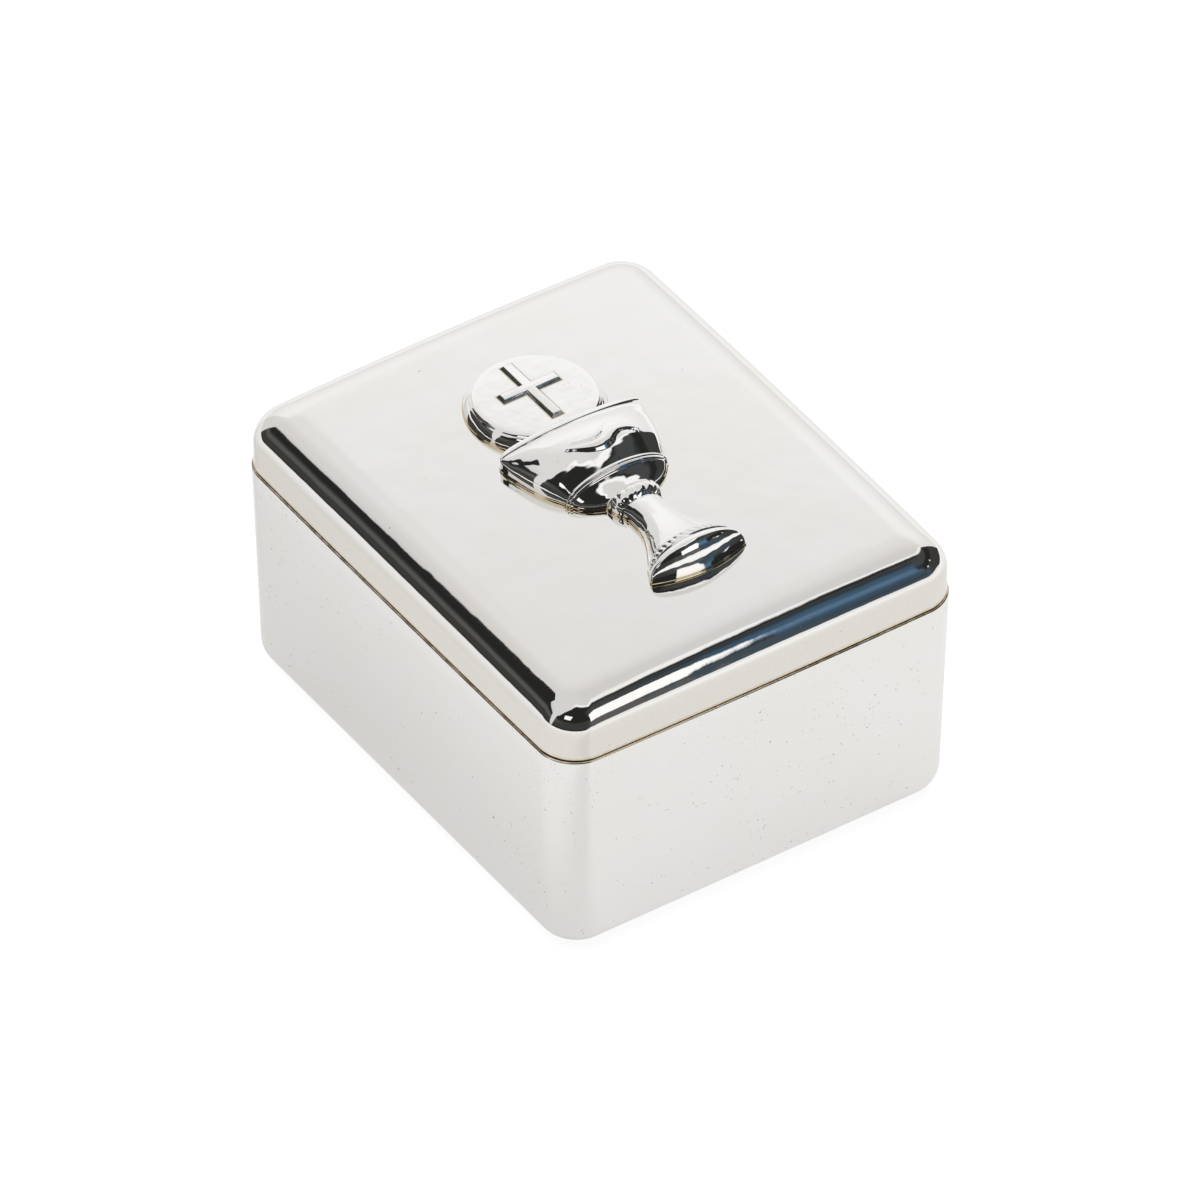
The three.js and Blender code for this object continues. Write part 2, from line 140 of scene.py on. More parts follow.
def boolean(ob, other, operation="DIFFERENCE", solver="MANIFOLD"):
    m = ob.modifiers.new("cut", "BOOLEAN")
    m.operation, m.object, m.solver = operation, other, solver
    dg = bpy.context.evaluated_depsgraph_get()
    me = bpy.data.meshes.new_from_object(ob.evaluated_get(dg))
    ob.modifiers.clear()
    old = ob.data
    ob.data = me
    bpy.data.meshes.remove(old)
    gone = other.data
    bpy.data.objects.remove(other)
    bpy.data.meshes.remove(gone)
    return ob


def finish_mesh(ob, body, replaced=(), angle=32, materials=(), name=None):
    """Millimetres to metres, shading, name, materials, body."""
    me = ob.data
    me.transform(Matrix.Scale(0.001, 4))
    me.name = ob.name
    me.shade_smooth()
    if angle is not None:
        me.set_sharp_from_angle(angle=math.radians(angle))
    me.materials.clear()
    for m in materials:
        me.materials.append(m)
    me.update()
    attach(ob, body)
    if replaced:
        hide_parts(*replaced)
    return ob


def box_mesh(name, x0, x1, y0, y1, z0, z1):
    v = np.array([(x, y, z) for z in (z0, z1) for y in (y0, y1) for x in (x0, x1)], float)
    f = [(0, 2, 3, 1), (4, 5, 7, 6), (0, 1, 5, 4), (2, 6, 7, 3), (0, 4, 6, 2), (1, 3, 7, 5)]
    return make(name, v, f)


def rod_x(name, r, x0, x1, y, z, n=64):
    rings = []
    for x in (x0, x1):
        a = np.linspace(0, 2 * math.pi, n, endpoint=False)
        rings.append(np.c_[np.full(n, x), y + r * np.cos(a), z + r * np.sin(a)])
    return make(name, *loft(rings, start=(x0, y, z), end=(x1, y, z)))


def turned(name, profile, place, axis="Z", n=48):
    """Solid of revolution: profile of (radius, height) from the axis back to the axis."""
    a = np.linspace(0, 2 * math.pi, n, endpoint=False)
    inner = [p for p in profile if p[0] > 1e-9]
    rings = []
    for r, h in inner:
        c = np.c_[r * np.cos(a), r * np.sin(a), np.full(n, h)]
        rings.append(c)
    start = (0, 0, profile[0][1]) if profile[0][0] <= 1e-9 else None
    end = (0, 0, profile[-1][1]) if profile[-1][0] <= 1e-9 else None
    v, f = loft(rings, start=start, end=end, closed=start is None)
    if axis == "Y":
        v = v[:, [0, 2, 1]] * np.array([1, 1, -1.0])
    elif axis == "X":
        v = v[:, [2, 0, 1]]
    return make(name, v + np.array(place), f)


# ---------------------------------------------------------------- node helpers
class Nodes:
    def __init__(self, tree):
        self.t = tree

    def new(self, kind, **props):
        n = self.t.nodes.new(kind)
        for k, v in props.items():
            setattr(n, k, v)
        return n

    def put(self, socket, value):
        if isinstance(value, bpy.types.NodeSocket):
            self.t.links.new(value, socket)
        elif value is not None:
            if socket.type == "RGBA" and not hasattr(value, "__len__"):
                value = (value, value, value, 1)
            elif socket.type == "RGBA" and len(value) == 3:
                value = (*value, 1)
            socket.default_value = value

    def math(self, op, a, b=None, c=None, clamp=False):
        n = self.new("ShaderNodeMath", operation=op, use_clamp=clamp)
        self.put(n.inputs[0], a)
        self.put(n.inputs[1], b)
        self.put(n.inputs[2], c)
        return n.outputs[0]

    def add(self, a, b): return self.math("ADD", a, b)
    def sub(self, a, b): return self.math("SUBTRACT", a, b)
    def mul(self, a, b): return self.math("MULTIPLY", a, b)
    def inv(self, a): return self.math("SUBTRACT", 1.0, a)

    def step(self, x, a, b, lo=0.0, hi=1.0, smooth=True):
        """Runs from lo to hi as x goes from a to b."""
        n = self.new("ShaderNodeMapRange", interpolation_type="SMOOTHSTEP" if smooth else "LINEAR")
        self.put(n.inputs["Value"], x)
        n.inputs["From Min"].default_value, n.inputs["From Max"].default_value = (a, b) if a < b else (b, a)
        n.inputs["To Min"].default_value, n.inputs["To Max"].default_value = (lo, hi) if a < b else (hi, lo)
        return n.outputs["Result"]

    def band(self, x, a, b, c, d):
        """0 below a, 1 between b and c, 0 above d."""
        return self.mul(self.step(x, a, b), self.step(x, c, d, 1.0, 0.0) if c < d else 1.0)

    def mix(self, fac, a, b, blend="MIX"):
        n = self.new("ShaderNodeMix", data_type="RGBA", blend_type=blend)
        self.put(n.inputs[0], fac)
        self.put(n.inputs[6], a)
        self.put(n.inputs[7], b)
        return n.outputs[2]

    def coords(self, scale=1000.0):
        c = self.new("ShaderNodeTexCoord").outputs["Object"]
        n = self.new("ShaderNodeVectorMath", operation="SCALE")
        self.t.links.new(c, n.inputs[0])
        n.inputs["Scale"].default_value = scale
        return n.outputs[0]

    def scaled(self, vec, sx, sy, sz):
        n = self.new("ShaderNodeVectorMath", operation="MULTIPLY")
        self.t.links.new(vec, n.inputs[0])
        n.inputs[1].default_value = (sx, sy, sz)
        return n.outputs[0]

    def xyz(self, vec):
        n = self.new("ShaderNodeSeparateXYZ")
        self.t.links.new(vec, n.inputs[0])
        return n.outputs

    def noise(self, vec, scale, detail=2.0, rough=0.5, distortion=0.0):
        n = self.new("ShaderNodeTexNoise")
        self.t.links.new(vec, n.inputs["Vector"])
        n.inputs["Scale"].default_value = scale
        n.inputs["Detail"].default_value = detail
        n.inputs["Roughness"].default_value = rough
        n.inputs["Distortion"].default_value = distortion
        return n.outputs[0]

    def voronoi(self, vec, scale, feature="F1", randomness=1.0):
        n = self.new("ShaderNodeTexVoronoi", feature=feature)
        self.t.links.new(vec, n.inputs["Vector"])
        n.inputs["Scale"].default_value = scale
        n.inputs["Randomness"].default_value = randomness
        return n.outputs

    def bump(self, height, strength, distance, normal=None):
        n = self.new("ShaderNodeBump")
        n.inputs["Strength"].default_value = strength
        n.inputs["Distance"].default_value = distance
        self.put(n.inputs["Height"], height)
        if normal is not None:
            self.put(n.inputs["Normal"], normal)
        return n.outputs[0]


def material(name, build, **uniform):
    m = bpy.data.materials.new(name)
    m.use_nodes = True
    m.node_tree.nodes.clear()
    g = Nodes(m.node_tree)
    out = g.new("ShaderNodeOutputMaterial")
    p = g.new("ShaderNodeBsdfPrincipled")
    g.t.links.new(p.outputs[0], out.inputs["Surface"])
    for k, v in uniform.items():
        s = p.inputs[k.replace("_", " ")]
        s.default_value = v if not hasattr(v, "__len__") or len(v) == 4 else (*v, 1)
    for k, v in build(g).items():
        g.put(p.inputs[k.replace("_", " ")], v)
    return m


# ---------------------------------------------------------------- metals
SILVER = (0.915, 0.91, 0.90)
WARM = (0.92, 0.90, 0.872)
GOLD = (0.86, 0.74, 0.54)


def silver(kind):
    """Polished silver plate on a zinc casting. kind: base, lid or emblem."""
    def build(g):
        p = g.coords()
        x, y, z = g.xyz(p)
        cloud = g.noise(p, 0.055, 3.0, 0.55)
        fine = g.noise(p, 0.9, 3.0, 0.6)
        colour = g.mix(g.step(cloud, 0.35, 0.68), SILVER, WARM)
        grime = g.noise(p, 1.6, 4.0, 0.65)
        if kind == "base":
            edge = g.step(z, 34.6, 34.9)
            colour = g.mix(g.mul(edge, 0.5), colour, GOLD)
            # dark brown line along the rim just under the lid's lip: tarnish, and painted shade of the seam between lid
            # and base
            tarnish_and_seam_shade = g.mul(g.step(z, 34.62, 34.82), g.step(g.noise(g.scaled(p, 0.5, 0.5, 1.0), 1.1, 5.0, 0.75), 0.38, 0.62, 0.1, 0.85))
            tarnish_and_seam_shade = g.mul(tarnish_and_seam_shade, g.math("MAXIMUM", g.step(y, -37.5, -34.0), g.step(x, -8, 10, 0.12, 1.0)))
            colour = g.mix(tarnish_and_seam_shade, colour, (0.27, 0.215, 0.145))
            rough = g.add(0.075, g.mul(g.step(cloud, 0.3, 0.7), 0.05))
        elif kind == "lid":
            colour = g.mix(g.mul(g.step(z, 40.5, 39.7), g.step(grime, 0.3, 0.6, 0.85, 1.0)), colour, (0.82, 0.792, 0.742))
            edge = g.step(z, 35.8, 35.4)
            colour = g.mix(g.mul(edge, g.step(grime, 0.35, 0.6, 0.4, 0.9)), colour, (0.72, 0.58, 0.38))
            rough = g.add(0.035, g.mul(g.step(cloud, 0.3, 0.7), 0.025))
        else:
            low = g.step(g.sub(z, g.sub(H, g.add(g.mul(g.mul(x, x), 4 * CROWN / 2 / W ** 2), g.mul(g.mul(y, y), 4 * CROWN / 2 / D ** 2)))), 0.95, 0.35)
            colour = g.mix(g.mul(low, g.step(grime, 0.25, 0.6, 0.5, 1.0)), colour, (0.76, 0.63, 0.42))
            rough = g.add(0.03, g.mul(g.step(fine, 0.4, 0.7), 0.03))
            colour = g.mix(0.8, colour, g.mix(low, (0.985, 0.98, 0.968), colour))
        # faint wiping marks: long, thin, in two directions
        wipe = g.noise(g.scaled(p, 0.12, 1.4, 0.5), 3.0, 2.0, 0.6)
        wipe2 = g.noise(g.scaled(p, 1.3, 0.1, 0.6), 3.2, 2.0, 0.6)
        marks = g.mul(g.step(wipe, 0.62, 0.78), g.step(wipe2, 0.3, 0.55, 1.0, 0.0))
        rough = g.add(rough, g.mul(marks, 0.02))
        height = g.mul(fine, 0.15)
        if kind != "emblem":
            # pinholes in the plating: groups on the walls, a few anywhere
            spread = g.new("ShaderNodeVectorMath", operation="ADD")
            g.t.links.new(p, spread.inputs[0])
            jitter = g.new("ShaderNodeTexNoise")
            g.t.links.new(p, jitter.inputs["Vector"])
            jitter.inputs["Scale"].default_value = 0.45
            jitter.inputs["Detail"].default_value = 2.0
            strong = g.new("ShaderNodeVectorMath", operation="SCALE")
            g.t.links.new(jitter.outputs["Color"], strong.inputs[0])
            strong.inputs["Scale"].default_value = 1.8
            g.t.links.new(strong.outputs[0], spread.inputs[1])
            v = g.voronoi(spread.outputs[0], 1.7)
            cell = g.xyz(v["Color"])[0]
            if kind == "base":
                patch_a = g.mul(g.step(x, -26, 14, 0.15, 1.0), g.step(y, -33, -38))
                patch_b = g.mul(g.step(x, -24, -31), g.step(g.math("ABSOLUTE", y), 10, 30, 0.15, 0.9))
                patch_c = g.mul(g.step(g.noise(p, 0.08, 1.0), 0.6, 0.72), 0.35)
                dense = g.math("MAXIMUM", g.math("MAXIMUM", patch_a, patch_b), patch_c)
                dense = g.mul(dense, g.step(g.noise(p, 0.17, 2.0, 0.6), 0.46, 0.6, 0.1, 1.0))
            else:
                dense = g.mul(g.step(g.noise(p, 0.11, 1.0), 0.66, 0.76), 0.18)
            chosen = g.math("GREATER_THAN", g.add(g.mul(dense, 1.9), 0.015 if kind == "base" else 0.006), cell)
            size = g.add(0.065, g.mul(g.mul(g.xyz(v["Color"])[1], g.xyz(v["Color"])[1]), 0.12))
            dot = g.mul(g.math("LESS_THAN", v["Distance"], size), chosen)
            colour = g.mix(g.mul(dot, g.step(g.xyz(v["Color"])[2], 0.0, 1.0, 0.35, 0.85)), colour, (0.12, 0.11, 0.10))
            rough = g.add(rough, g.mul(dot, 0.35))
            height = g.sub(height, g.mul(dot, 1.0))
        else:
            ax, ay = g.math("ABSOLUTE", x), g.sub(y, CROSS[0])
            upright = g.math("MAXIMUM", g.sub(ax, CROSS[3]), g.math("MAXIMUM", g.sub(ay, CROSS[1]), g.sub(g.mul(ay, -1.0), CROSS[2])))
            beam = g.math("MAXIMUM", g.sub(ax, CROSS[4]), g.sub(g.math("ABSOLUTE", ay), CROSS[3]))
            off = g.math("MINIMUM", upright, beam)
            patina = g.mul(g.mul(g.step(off, -0.14, 0.02), g.step(off, 0.42, 0.12)), g.step(z, 46.5, 46.9))
            colour = g.mix(g.mul(patina, g.step(grime, 0.2, 0.62, 0.45, 0.95)), colour, (0.52, 0.45, 0.33))
            rough = g.add(rough, g.mul(patina, 0.16))
            v = g.voronoi(p, 1.6)
            cell = g.xyz(v["Color"])[0]
            dot = g.mul(g.math("LESS_THAN", v["Distance"], g.add(0.05, g.mul(g.xyz(v["Color"])[1], 0.07))), g.math("GREATER_THAN", 0.16, cell))
            colour = g.mix(g.mul(dot, 0.75), colour, (0.16, 0.15, 0.13))
            rough = g.add(rough, g.mul(dot, 0.25))
            height = g.sub(height, g.mul(dot, 1.0))
        height = g.add(height, g.mul(grime, 0.1))
        wave = g.noise(p, 0.2 if kind != "emblem" else 0.5, 1.0, 0.4)
        soft = g.bump(wave, 0.05 if kind != "emblem" else 0.06, 0.0008)
        normal = g.bump(height, 0.035 if kind != "emblem" else 0.03, 0.0004, soft)
        return {"Base_Color": colour, "Roughness": rough, "Normal": normal}
    return material(f"silver_{kind}", build, Metallic=1.0)


def cast_inside():
    """The unpolished inside of the castings: thin plating over a fine cast grain."""
    def build(g):
        p = g.coords()
        grain = g.noise(p, 5.0, 5.0, 0.7)
        cloud = g.noise(p, 0.12, 3.0, 0.6)
        colour = g.mix(g.step(cloud, 0.3, 0.7), (0.62, 0.61, 0.59), (0.72, 0.70, 0.66))
        rough = g.add(0.26, g.mul(grain, 0.2))
        return {"Base_Color": colour, "Roughness": rough, "Normal": g.bump(grain, 0.35, 0.00008)}
    return material("plated_inside", build, Metallic=1.0)


def steel(name, colour_a, colour_b, rough0, along=(0.12, 1.0, 1.0), wear=0.25):
    """Nickel-plated steel with drawing marks and a little wear."""
    def build(g):
        p = g.coords()
        lines = g.noise(g.scaled(p, *along), 6.0, 3.0, 0.6)
        cloud = g.noise(p, 0.5, 3.0, 0.6)
        colour = g.mix(g.step(cloud, 0.3, 0.7), colour_a, colour_b)
        spots = g.step(g.noise(p, 3.0, 4.0, 0.7), 0.62, 0.72)
        colour = g.mix(g.mul(spots, wear), colour, (0.32, 0.29, 0.25))
        rough = g.add(g.add(rough0, g.mul(lines, 0.12)), g.mul(spots, 0.15))
        return {"Base_Color": colour, "Roughness": rough, "Normal": g.bump(lines, 0.25, 0.00003)}
    return material(name, build, Metallic=1.0)


# ---------------------------------------------------------------- fabrics and card
def velvet():
    def build(g):
        p = g.coords()
        pile = g.noise(p, 7.0, 3.0, 0.65)
        lay = g.noise(g.scaled(p, 1.0, 0.45, 0.7), 0.35, 4.0, 0.6, 0.6)
        crush = g.noise(p, 0.12, 3.0, 0.55, 0.8)
        colour = g.mix(g.step(lay, 0.32, 0.7), (0.012, 0.022, 0.075), (0.03, 0.05, 0.15))
        colour = g.mix(g.mul(g.step(pile, 0.35, 0.7), 0.5), colour, (0.05, 0.075, 0.2))
        colour = g.mix(g.mul(g.step(crush, 0.5, 0.72), 0.45), colour, (0.06, 0.085, 0.21))
        rough = g.add(0.78, g.mul(pile, 0.2))
        n1 = g.bump(lay, 0.35, 0.0003)
        n2 = g.bump(pile, 0.6, 0.00016, n1)
        return {"Base_Color": colour, "Roughness": rough, "Normal": n2}
    return material("navy_velvet", build, Sheen_Weight=0.85, Sheen_Roughness=0.35, Sheen_Tint=(0.35, 0.45, 0.8), Specular_IOR_Level=0.15)


def felt():
    def build(g):
        p = g.coords()
        fibre = g.noise(p, 3.2, 6.0, 0.75, 1.6)
        hair = g.noise(g.scaled(p, 0.5, 2.2, 1.0), 3.5, 4.0, 0.7, 2.2)
        hair2 = g.noise(g.scaled(p, 2.1, 0.5, 1.0), 3.1, 4.0, 0.7, 2.0)
        colour = g.mix(g.step(fibre, 0.3, 0.7), (0.018, 0.018, 0.021), (0.045, 0.045, 0.05))
        web = g.math("MAXIMUM", g.step(hair, 0.6, 0.72), g.step(hair2, 0.6, 0.72))
        colour = g.mix(g.mul(web, 0.55), colour, (0.11, 0.11, 0.12))
        h = g.add(g.mul(fibre, 0.7), g.mul(web, 0.4))
        return {"Base_Color": colour, "Roughness": g.add(0.85, g.mul(fibre, 0.12)), "Normal": g.bump(h, 0.8, 0.0002)}
    return material("charcoal_felt", build, Sheen_Weight=0.35, Sheen_Roughness=0.6, Specular_IOR_Level=0.1)


def card():
    def build(g):
        p = g.coords()
        pulp = g.noise(p, 1.8, 6.0, 0.75, 0.8)
        fleck = g.step(g.noise(g.scaled(p, 1.0, 0.35, 1.0), 5.0, 3.0, 0.6), 0.66, 0.72)
        layers = g.noise(g.scaled(p, 0.2, 0.2, 6.0), 1.5, 2.0, 0.5)
        colour = g.mix(g.step(pulp, 0.3, 0.7), (0.30, 0.265, 0.21), (0.42, 0.38, 0.31))
        colour = g.mix(g.mul(fleck, 0.5), colour, (0.16, 0.14, 0.11))
        colour = g.mix(g.mul(g.step(layers, 0.4, 0.65), 0.18), colour, (0.5, 0.46, 0.39))
        return {"Base_Color": colour, "Roughness": g.add(0.8, g.mul(pulp, 0.15)), "Normal": g.bump(pulp, 0.5, 0.0001)}
    return material("greyboard", build, Specular_IOR_Level=0.2)


M = {
    "base": silver("base"), "lid": silver("lid"), "emblem": silver("emblem"), "inside": cast_inside(),
    "leaf": steel("nickel_leaf", (0.68, 0.66, 0.62), (0.60, 0.58, 0.54), 0.16),
    "pin": steel("steel_pin", (0.60, 0.59, 0.57), (0.52, 0.51, 0.49), 0.2, along=(0.1, 1.0, 1.0)),
    "screw": steel("brass_plated_screw", (0.70, 0.66, 0.56), (0.60, 0.56, 0.47), 0.2, along=(1.0, 1.0, 1.0)),
    "washer": steel("spring_washer", (0.34, 0.34, 0.35), (0.26, 0.26, 0.27), 0.3, along=(1.0, 1.0, 1.0), wear=0.4),
    "velvet": velvet(), "felt": felt(), "card": card(),
}


# ---------------------------------------------------------------- base casting
def base_shell():
    rim_h = RIM - BASE_BOTTOM

    def ring(z, inset, r, bow=1.0):
        dr = DRAFT * (RIM - z) / rim_h
        k = (z - BASE_BOTTOM) / rim_h * bow
        return at(outline(W - 2 * (inset + dr), D - 2 * (inset + dr), r, BOW_X * k, BOW_Y * k), z)

    rw, rd, rr, rt = RECESS
    rings = [at(outline(rw - 0.5, rd - 0.5, rr - 0.25), rt), at(outline(rw - 0.1, rd - 0.1, rr - 0.05), rt - 0.08),
             at(outline(rw, rd, rr), rt - 0.3), at(outline(rw, rd, rr), BASE_BOTTOM + 0.15), at(outline(rw + 0.3, rd + 0.3, rr + 0.15), BASE_BOTTOM)]
    n = 16
    for i in range(n + 1):
        t = math.pi / 2 * (1 - i / n)
        inset = FOOT_R * (1 - math.cos(t))
        rings.append(ring(BASE_BOTTOM + FOOT_R * (1 - math.sin(t)), inset, max(CORNER - inset * 0.93, 0.6)))
    for z in np.linspace(BASE_BOTTOM + FOOT_R, RIM - 0.28, 12)[1:]:
        rings.append(ring(float(z), 0, CORNER))
    for i in range(1, 6):
        t = math.pi / 2 * i / 5
        rings.append(ring(RIM - 0.28 + 0.28 * math.sin(t), 0.28 * (1 - math.cos(t)), CORNER - 0.28 * (1 - math.cos(t)), 1 - 0.14 * i / 5))
    e = BASE_WALL
    for i in range(0, 5):
        t = math.pi / 2 * (1 - i / 4)
        ins = e - 0.25 * (1 - math.cos(t)) if i else e - 0.25
        rings.append(ring(RIM - 0.25 + 0.25 * math.sin(t), ins, CORNER - ins, 0))
    for z in (30, 22, 14, 8, FLOOR_TOP + 1.2):
        rings.append(ring(z, e, CORNER - e, 0))
    for i in range(1, 6):
        t = math.pi / 2 * i / 5
        ins = e + 1.2 * (1 - math.cos(t))
        rings.append(ring(FLOOR_TOP + 1.2 * (1 - math.sin(t)), ins, max(CORNER - ins, 1.2), 0))
    ob = make("base_shell_fine", *loft(rings, start=(0, 0, rt), end=(0, 0, FLOOR_TOP)))
    for c in rear_cutters(-1):
        boolean(ob, c)
    return ob


def rear_cutters(s):
    """The V between the rear edges, the knuckle notch and the leaf seat: s is -1 for the base, 1 for the lid."""
    z0 = RIM if s < 0 else LID_EDGE
    rise = math.tan(BEVEL) * 6
    prof = [(AXIS_Y, z0 - s * 0.6), (AXIS_Y + 6, z0 - s * 0.6), (AXIS_Y + 6, z0 + s * rise), (AXIS_Y, z0)]
    v = np.array([(x, y, z) for x in (-40, 40) for y, z in prof])
    f = [(0, 1, 2, 3), (7, 6, 5, 4)] + [(i, 4 + i, 4 + (i + 1) % 4, (i + 1) % 4) for i in range(4)]
    seat = HINGE_HALF + 0.8
    return [make("cut_v", v, f), rod_x("cut_notch", NOTCH_R, -NOTCH_HALF, NOTCH_HALF, AXIS_Y, AXIS_Z, 96),
            box_mesh("cut_seat", -seat, seat, 36, 38.12, AXIS_Z - (LEAF_REACH + 0.5 if s < 0 else 1), AXIS_Z + (1 if s < 0 else LEAF_REACH + 0.3))]


# ---------------------------------------------------------------- lid casting
def lid_shell():
    def bow(inset, wall=0.0):
        return 0.0 if wall else 1 - inset / 20

    def ring(t, wall):
        rh, rv, top = LID_RH - wall, LID_RV - wall, H - wall
        inset = LID_STEP + wall + rh * (1 - math.cos(t))
        r0 = CORNER - wall
        r = r0 + (LID_TOP_CORNER - r0) * ((1 - math.cos(t)) + math.sin(t) ** 2) / 2
        o = outline(W - 2 * inset, D - 2 * inset, max(r, 0.8), BOW_X * bow(inset, wall), BOW_Y * bow(inset, wall))
        return at(o, lambda x, y: top - rv + rv * math.sin(t) - sag(x, y) * math.sin(t))

    def plateau(r, s, top):
        x, y = r[:, 0] * s, r[:, 1] * s
        return np.c_[x, y, top - sag(x, y)]

    def wall_ring(z, inset):
        o = outline(W - 2 * (LID_STEP + inset), D - 2 * (LID_STEP + inset), CORNER - inset, BOW_X * bow(inset, inset > 1), BOW_Y * bow(inset, inset > 1))
        low = max(0.0, min(1.0, (36.0 - z) / 0.6)) * 0.09
        return at(o, lambda x, y: z - low * np.clip((-y - 35.5) / 2.5, 0, 1))

    outer, inner = ring(math.pi / 2, 0), ring(math.pi / 2, LID_WALL)
    rings = [plateau(outer, s, H) for s in np.linspace(0.06, 0.97, 15)]
    n = 30
    rings += [ring(math.pi / 2 * (1 - i / n), 0) for i in range(n + 1)]
    for z in (37.6, 36.6, 35.95):
        rings.append(wall_ring(z, 0))
    # a small rolled lip at the lower edge
    for dz, ins in ((0.56, 0.0), (0.46, -0.02), (0.34, -0.055), (0.18, -0.06), (0.06, -0.03), (0.0, 0.03), (-0.05, 0.12), (-0.08, 0.26)):
        rings.append(wall_ring(LID_EDGE - 0.08 + dz, ins))
    for dz, ins in ((-0.08, 1.0), (-0.08, LID_WALL - 0.22), (-0.02, LID_WALL - 0.06), (0.14, LID_WALL)):
        rings.append(wall_ring(LID_EDGE - 0.08 + dz, ins))
    rings += [ring(math.pi / 2 * i / 12, LID_WALL) for i in range(13)]
    rings += [plateau(inner, s, H - LID_WALL) for s in np.linspace(0.9, 0.1, 8)]
    ob = make("lid_shell_fine", *loft(rings, start=(0, 0, H), end=(0, 0, H - LID_WALL)))
    for c in rear_cutters(1):
        boolean(ob, c)
    return ob


def inside_faces(ob, test):
    """Gives the faces for which test(centre, normal) is true the second material."""
    for p in ob.data.polygons:
        if test(p.center * 1000, p.normal):
            p.material_index = 1


base = base_shell()
finish_mesh(base, "base", ["base_shell"], 34, [M["base"], M["inside"]])


def in_recess(c):
    rw, rd, rr, rt = RECESS
    return c.z < rt + 0.05 and math.hypot(max(abs(c.x) - rw / 2 + rr, 0), max(abs(c.y) - rd / 2 + rr, 0)) < rr + 0.02


inside_faces(base, lambda c, n: in_recess(c) or (1.6 < c.z < 33.8 and abs(c.x) < 31.2 and abs(c.y) < 38.3 and (n.x * c.x + n.y * c.y < -0.1 or n.z > 0.9)))
lid = lid_shell()
finish_mesh(lid, "lid", ["lid_shell"], 34, [M["lid"], M["inside"]])
inside_faces(lid, lambda c, n: 35.6 < c.z < H - LID_WALL + 0.05 and (n.z < -0.5 or n.x * c.x + n.y * c.y < -0.1))


# ---------------------------------------------------------------- emblem: host and chalice
def hermite(keys, counts):
    """Smooth interpolation through rows of numbers; counts[i] steps between row i and i+1."""
    k = np.array(keys, float)
    d = np.linalg.norm(np.diff(k[:, :2], axis=0), axis=1) + np.abs(np.diff(k[:, 3])) + 1e-6
    s = np.r_[0, np.cumsum(d)]
    slope = np.diff(k, axis=0) / d[:, None]
    t = np.zeros_like(k)
    t[0], t[-1] = slope[0], slope[-1]
    for i in range(1, len(k) - 1):
        a, b = slope[i - 1], slope[i]
        w1, w2 = 2 * d[i] + d[i - 1], d[i] + 2 * d[i - 1]
        same = a * b > 0
        with np.errstate(divide="ignore", invalid="ignore"):
            h = (w1 + w2) / (w1 / np.where(a == 0, 1, a) + w2 / np.where(b == 0, 1, b))
        t[i] = np.where(same, h, 0)
    out = []
    for i, c in enumerate(counts):
        for j in range(c):
            u = j / c
            h00, h10 = 2 * u ** 3 - 3 * u ** 2 + 1, u ** 3 - 2 * u ** 2 + u
            h01, h11 = -2 * u ** 3 + 3 * u ** 2, u ** 3 - u ** 2
            out.append(h00 * k[i] + h10 * d[i] * t[i] + h01 * k[i + 1] + h11 * d[i] * t[i + 1])
    out.append(k[-1])
    return out


def segment_distance(px, py, line):
    """Distance to a polyline, and how far along it (0 to 1) the nearest point is."""
    best = np.full(px.shape, 1e9)
    where = np.zeros(px.shape)
    n = len(line) - 1
    for i in range(n):
        (x0, y0), (x1, y1) = line[i], line[i + 1]
        dx, dy = x1 - x0, y1 - y0
        t = np.clip(((px - x0) * dx + (py - y0) * dy) / (dx * dx + dy * dy + 1e-12), 0, 1)
        d = np.hypot(px - x0 - t * dx, py - y0 - t * dy)
        near = d < best
        best = np.where(near, d, best)
        where = np.where(near, (i + t) / n, where)
    return best, where


def curve(points, n=60):
    p = np.array(points, float)
    q = np.r_[[2 * p[0] - p[1]], p, [2 * p[-1] - p[-2]]]
    out = []
    for i in range(1, len(q) - 2):
        for j in range(n // (len(p) - 1)):
            t = j / (n // (len(p) - 1))
            a, b, c, d = q[i - 1], q[i], q[i + 1], q[i + 2]
            out.append(0.5 * (2 * b + (c - a) * t + (2 * a - 5 * b + 4 * c - d) * t ** 2 + (3 * b - a - 3 * c + d) * t ** 3))
    out.append(p[-1])
    return np.array(out)


SCROLL_A = curve([(-4.9, 0.3), (-3.6, -0.4), (-2.2, -1.0), (-0.8, -1.3), (0.6, -1.1), (1.8, -0.3), (3.2, 0.1), (4.8, -0.2), (5.9, -0.9)])
SCROLL_B = curve([(-3.9, 1.0), (-2.6, 0.5), (-1.0, 0.2), (0.4, 0.6), (1.4, 1.4)])

# y, half-width, height of the side, height of the middle, roundness, forward lean of the sides
LIP = [[8.4, 7.6, 1.3, 2.0, 0.45, 0], [8.33, 8.9, 1.6, 2.6, 0.48, 0], [8.08, 10.15, 1.85, 3.1, 0.5, 0], [7.65, 10.95, 2.0, 3.4, 0.5, 0], [7.15, 11.35, 1.95, 3.4, 0.5, 0], [6.92, 11.42, 1.8, 3.2, 0.5, 0]]
BOWL = [[6.92, 11.42, 1.8, 3.2, 0.5, 0], [6.5, 11.45, 1.6, 3.75, 0.5, 0], [5.5, 11.4, 1.4, 4.7, 0.51, 0], [4.1, 11.15, 1.2, 5.35, 0.53, 0], [2.4, 10.8, 1.1, 5.8, 0.54, 0], [0.7, 10.35, 0.95, 5.95, 0.55, 0],
        [-0.7, 9.88, 0.8, 5.8, 0.55, 0], [-2.0, 9.28, 0.7, 5.25, 0.55, 0], [-3.1, 8.68, 0.65, 4.55, 0.55, 0], [-4.05, 8.18, 0.62, 3.85, 0.55, 0]]
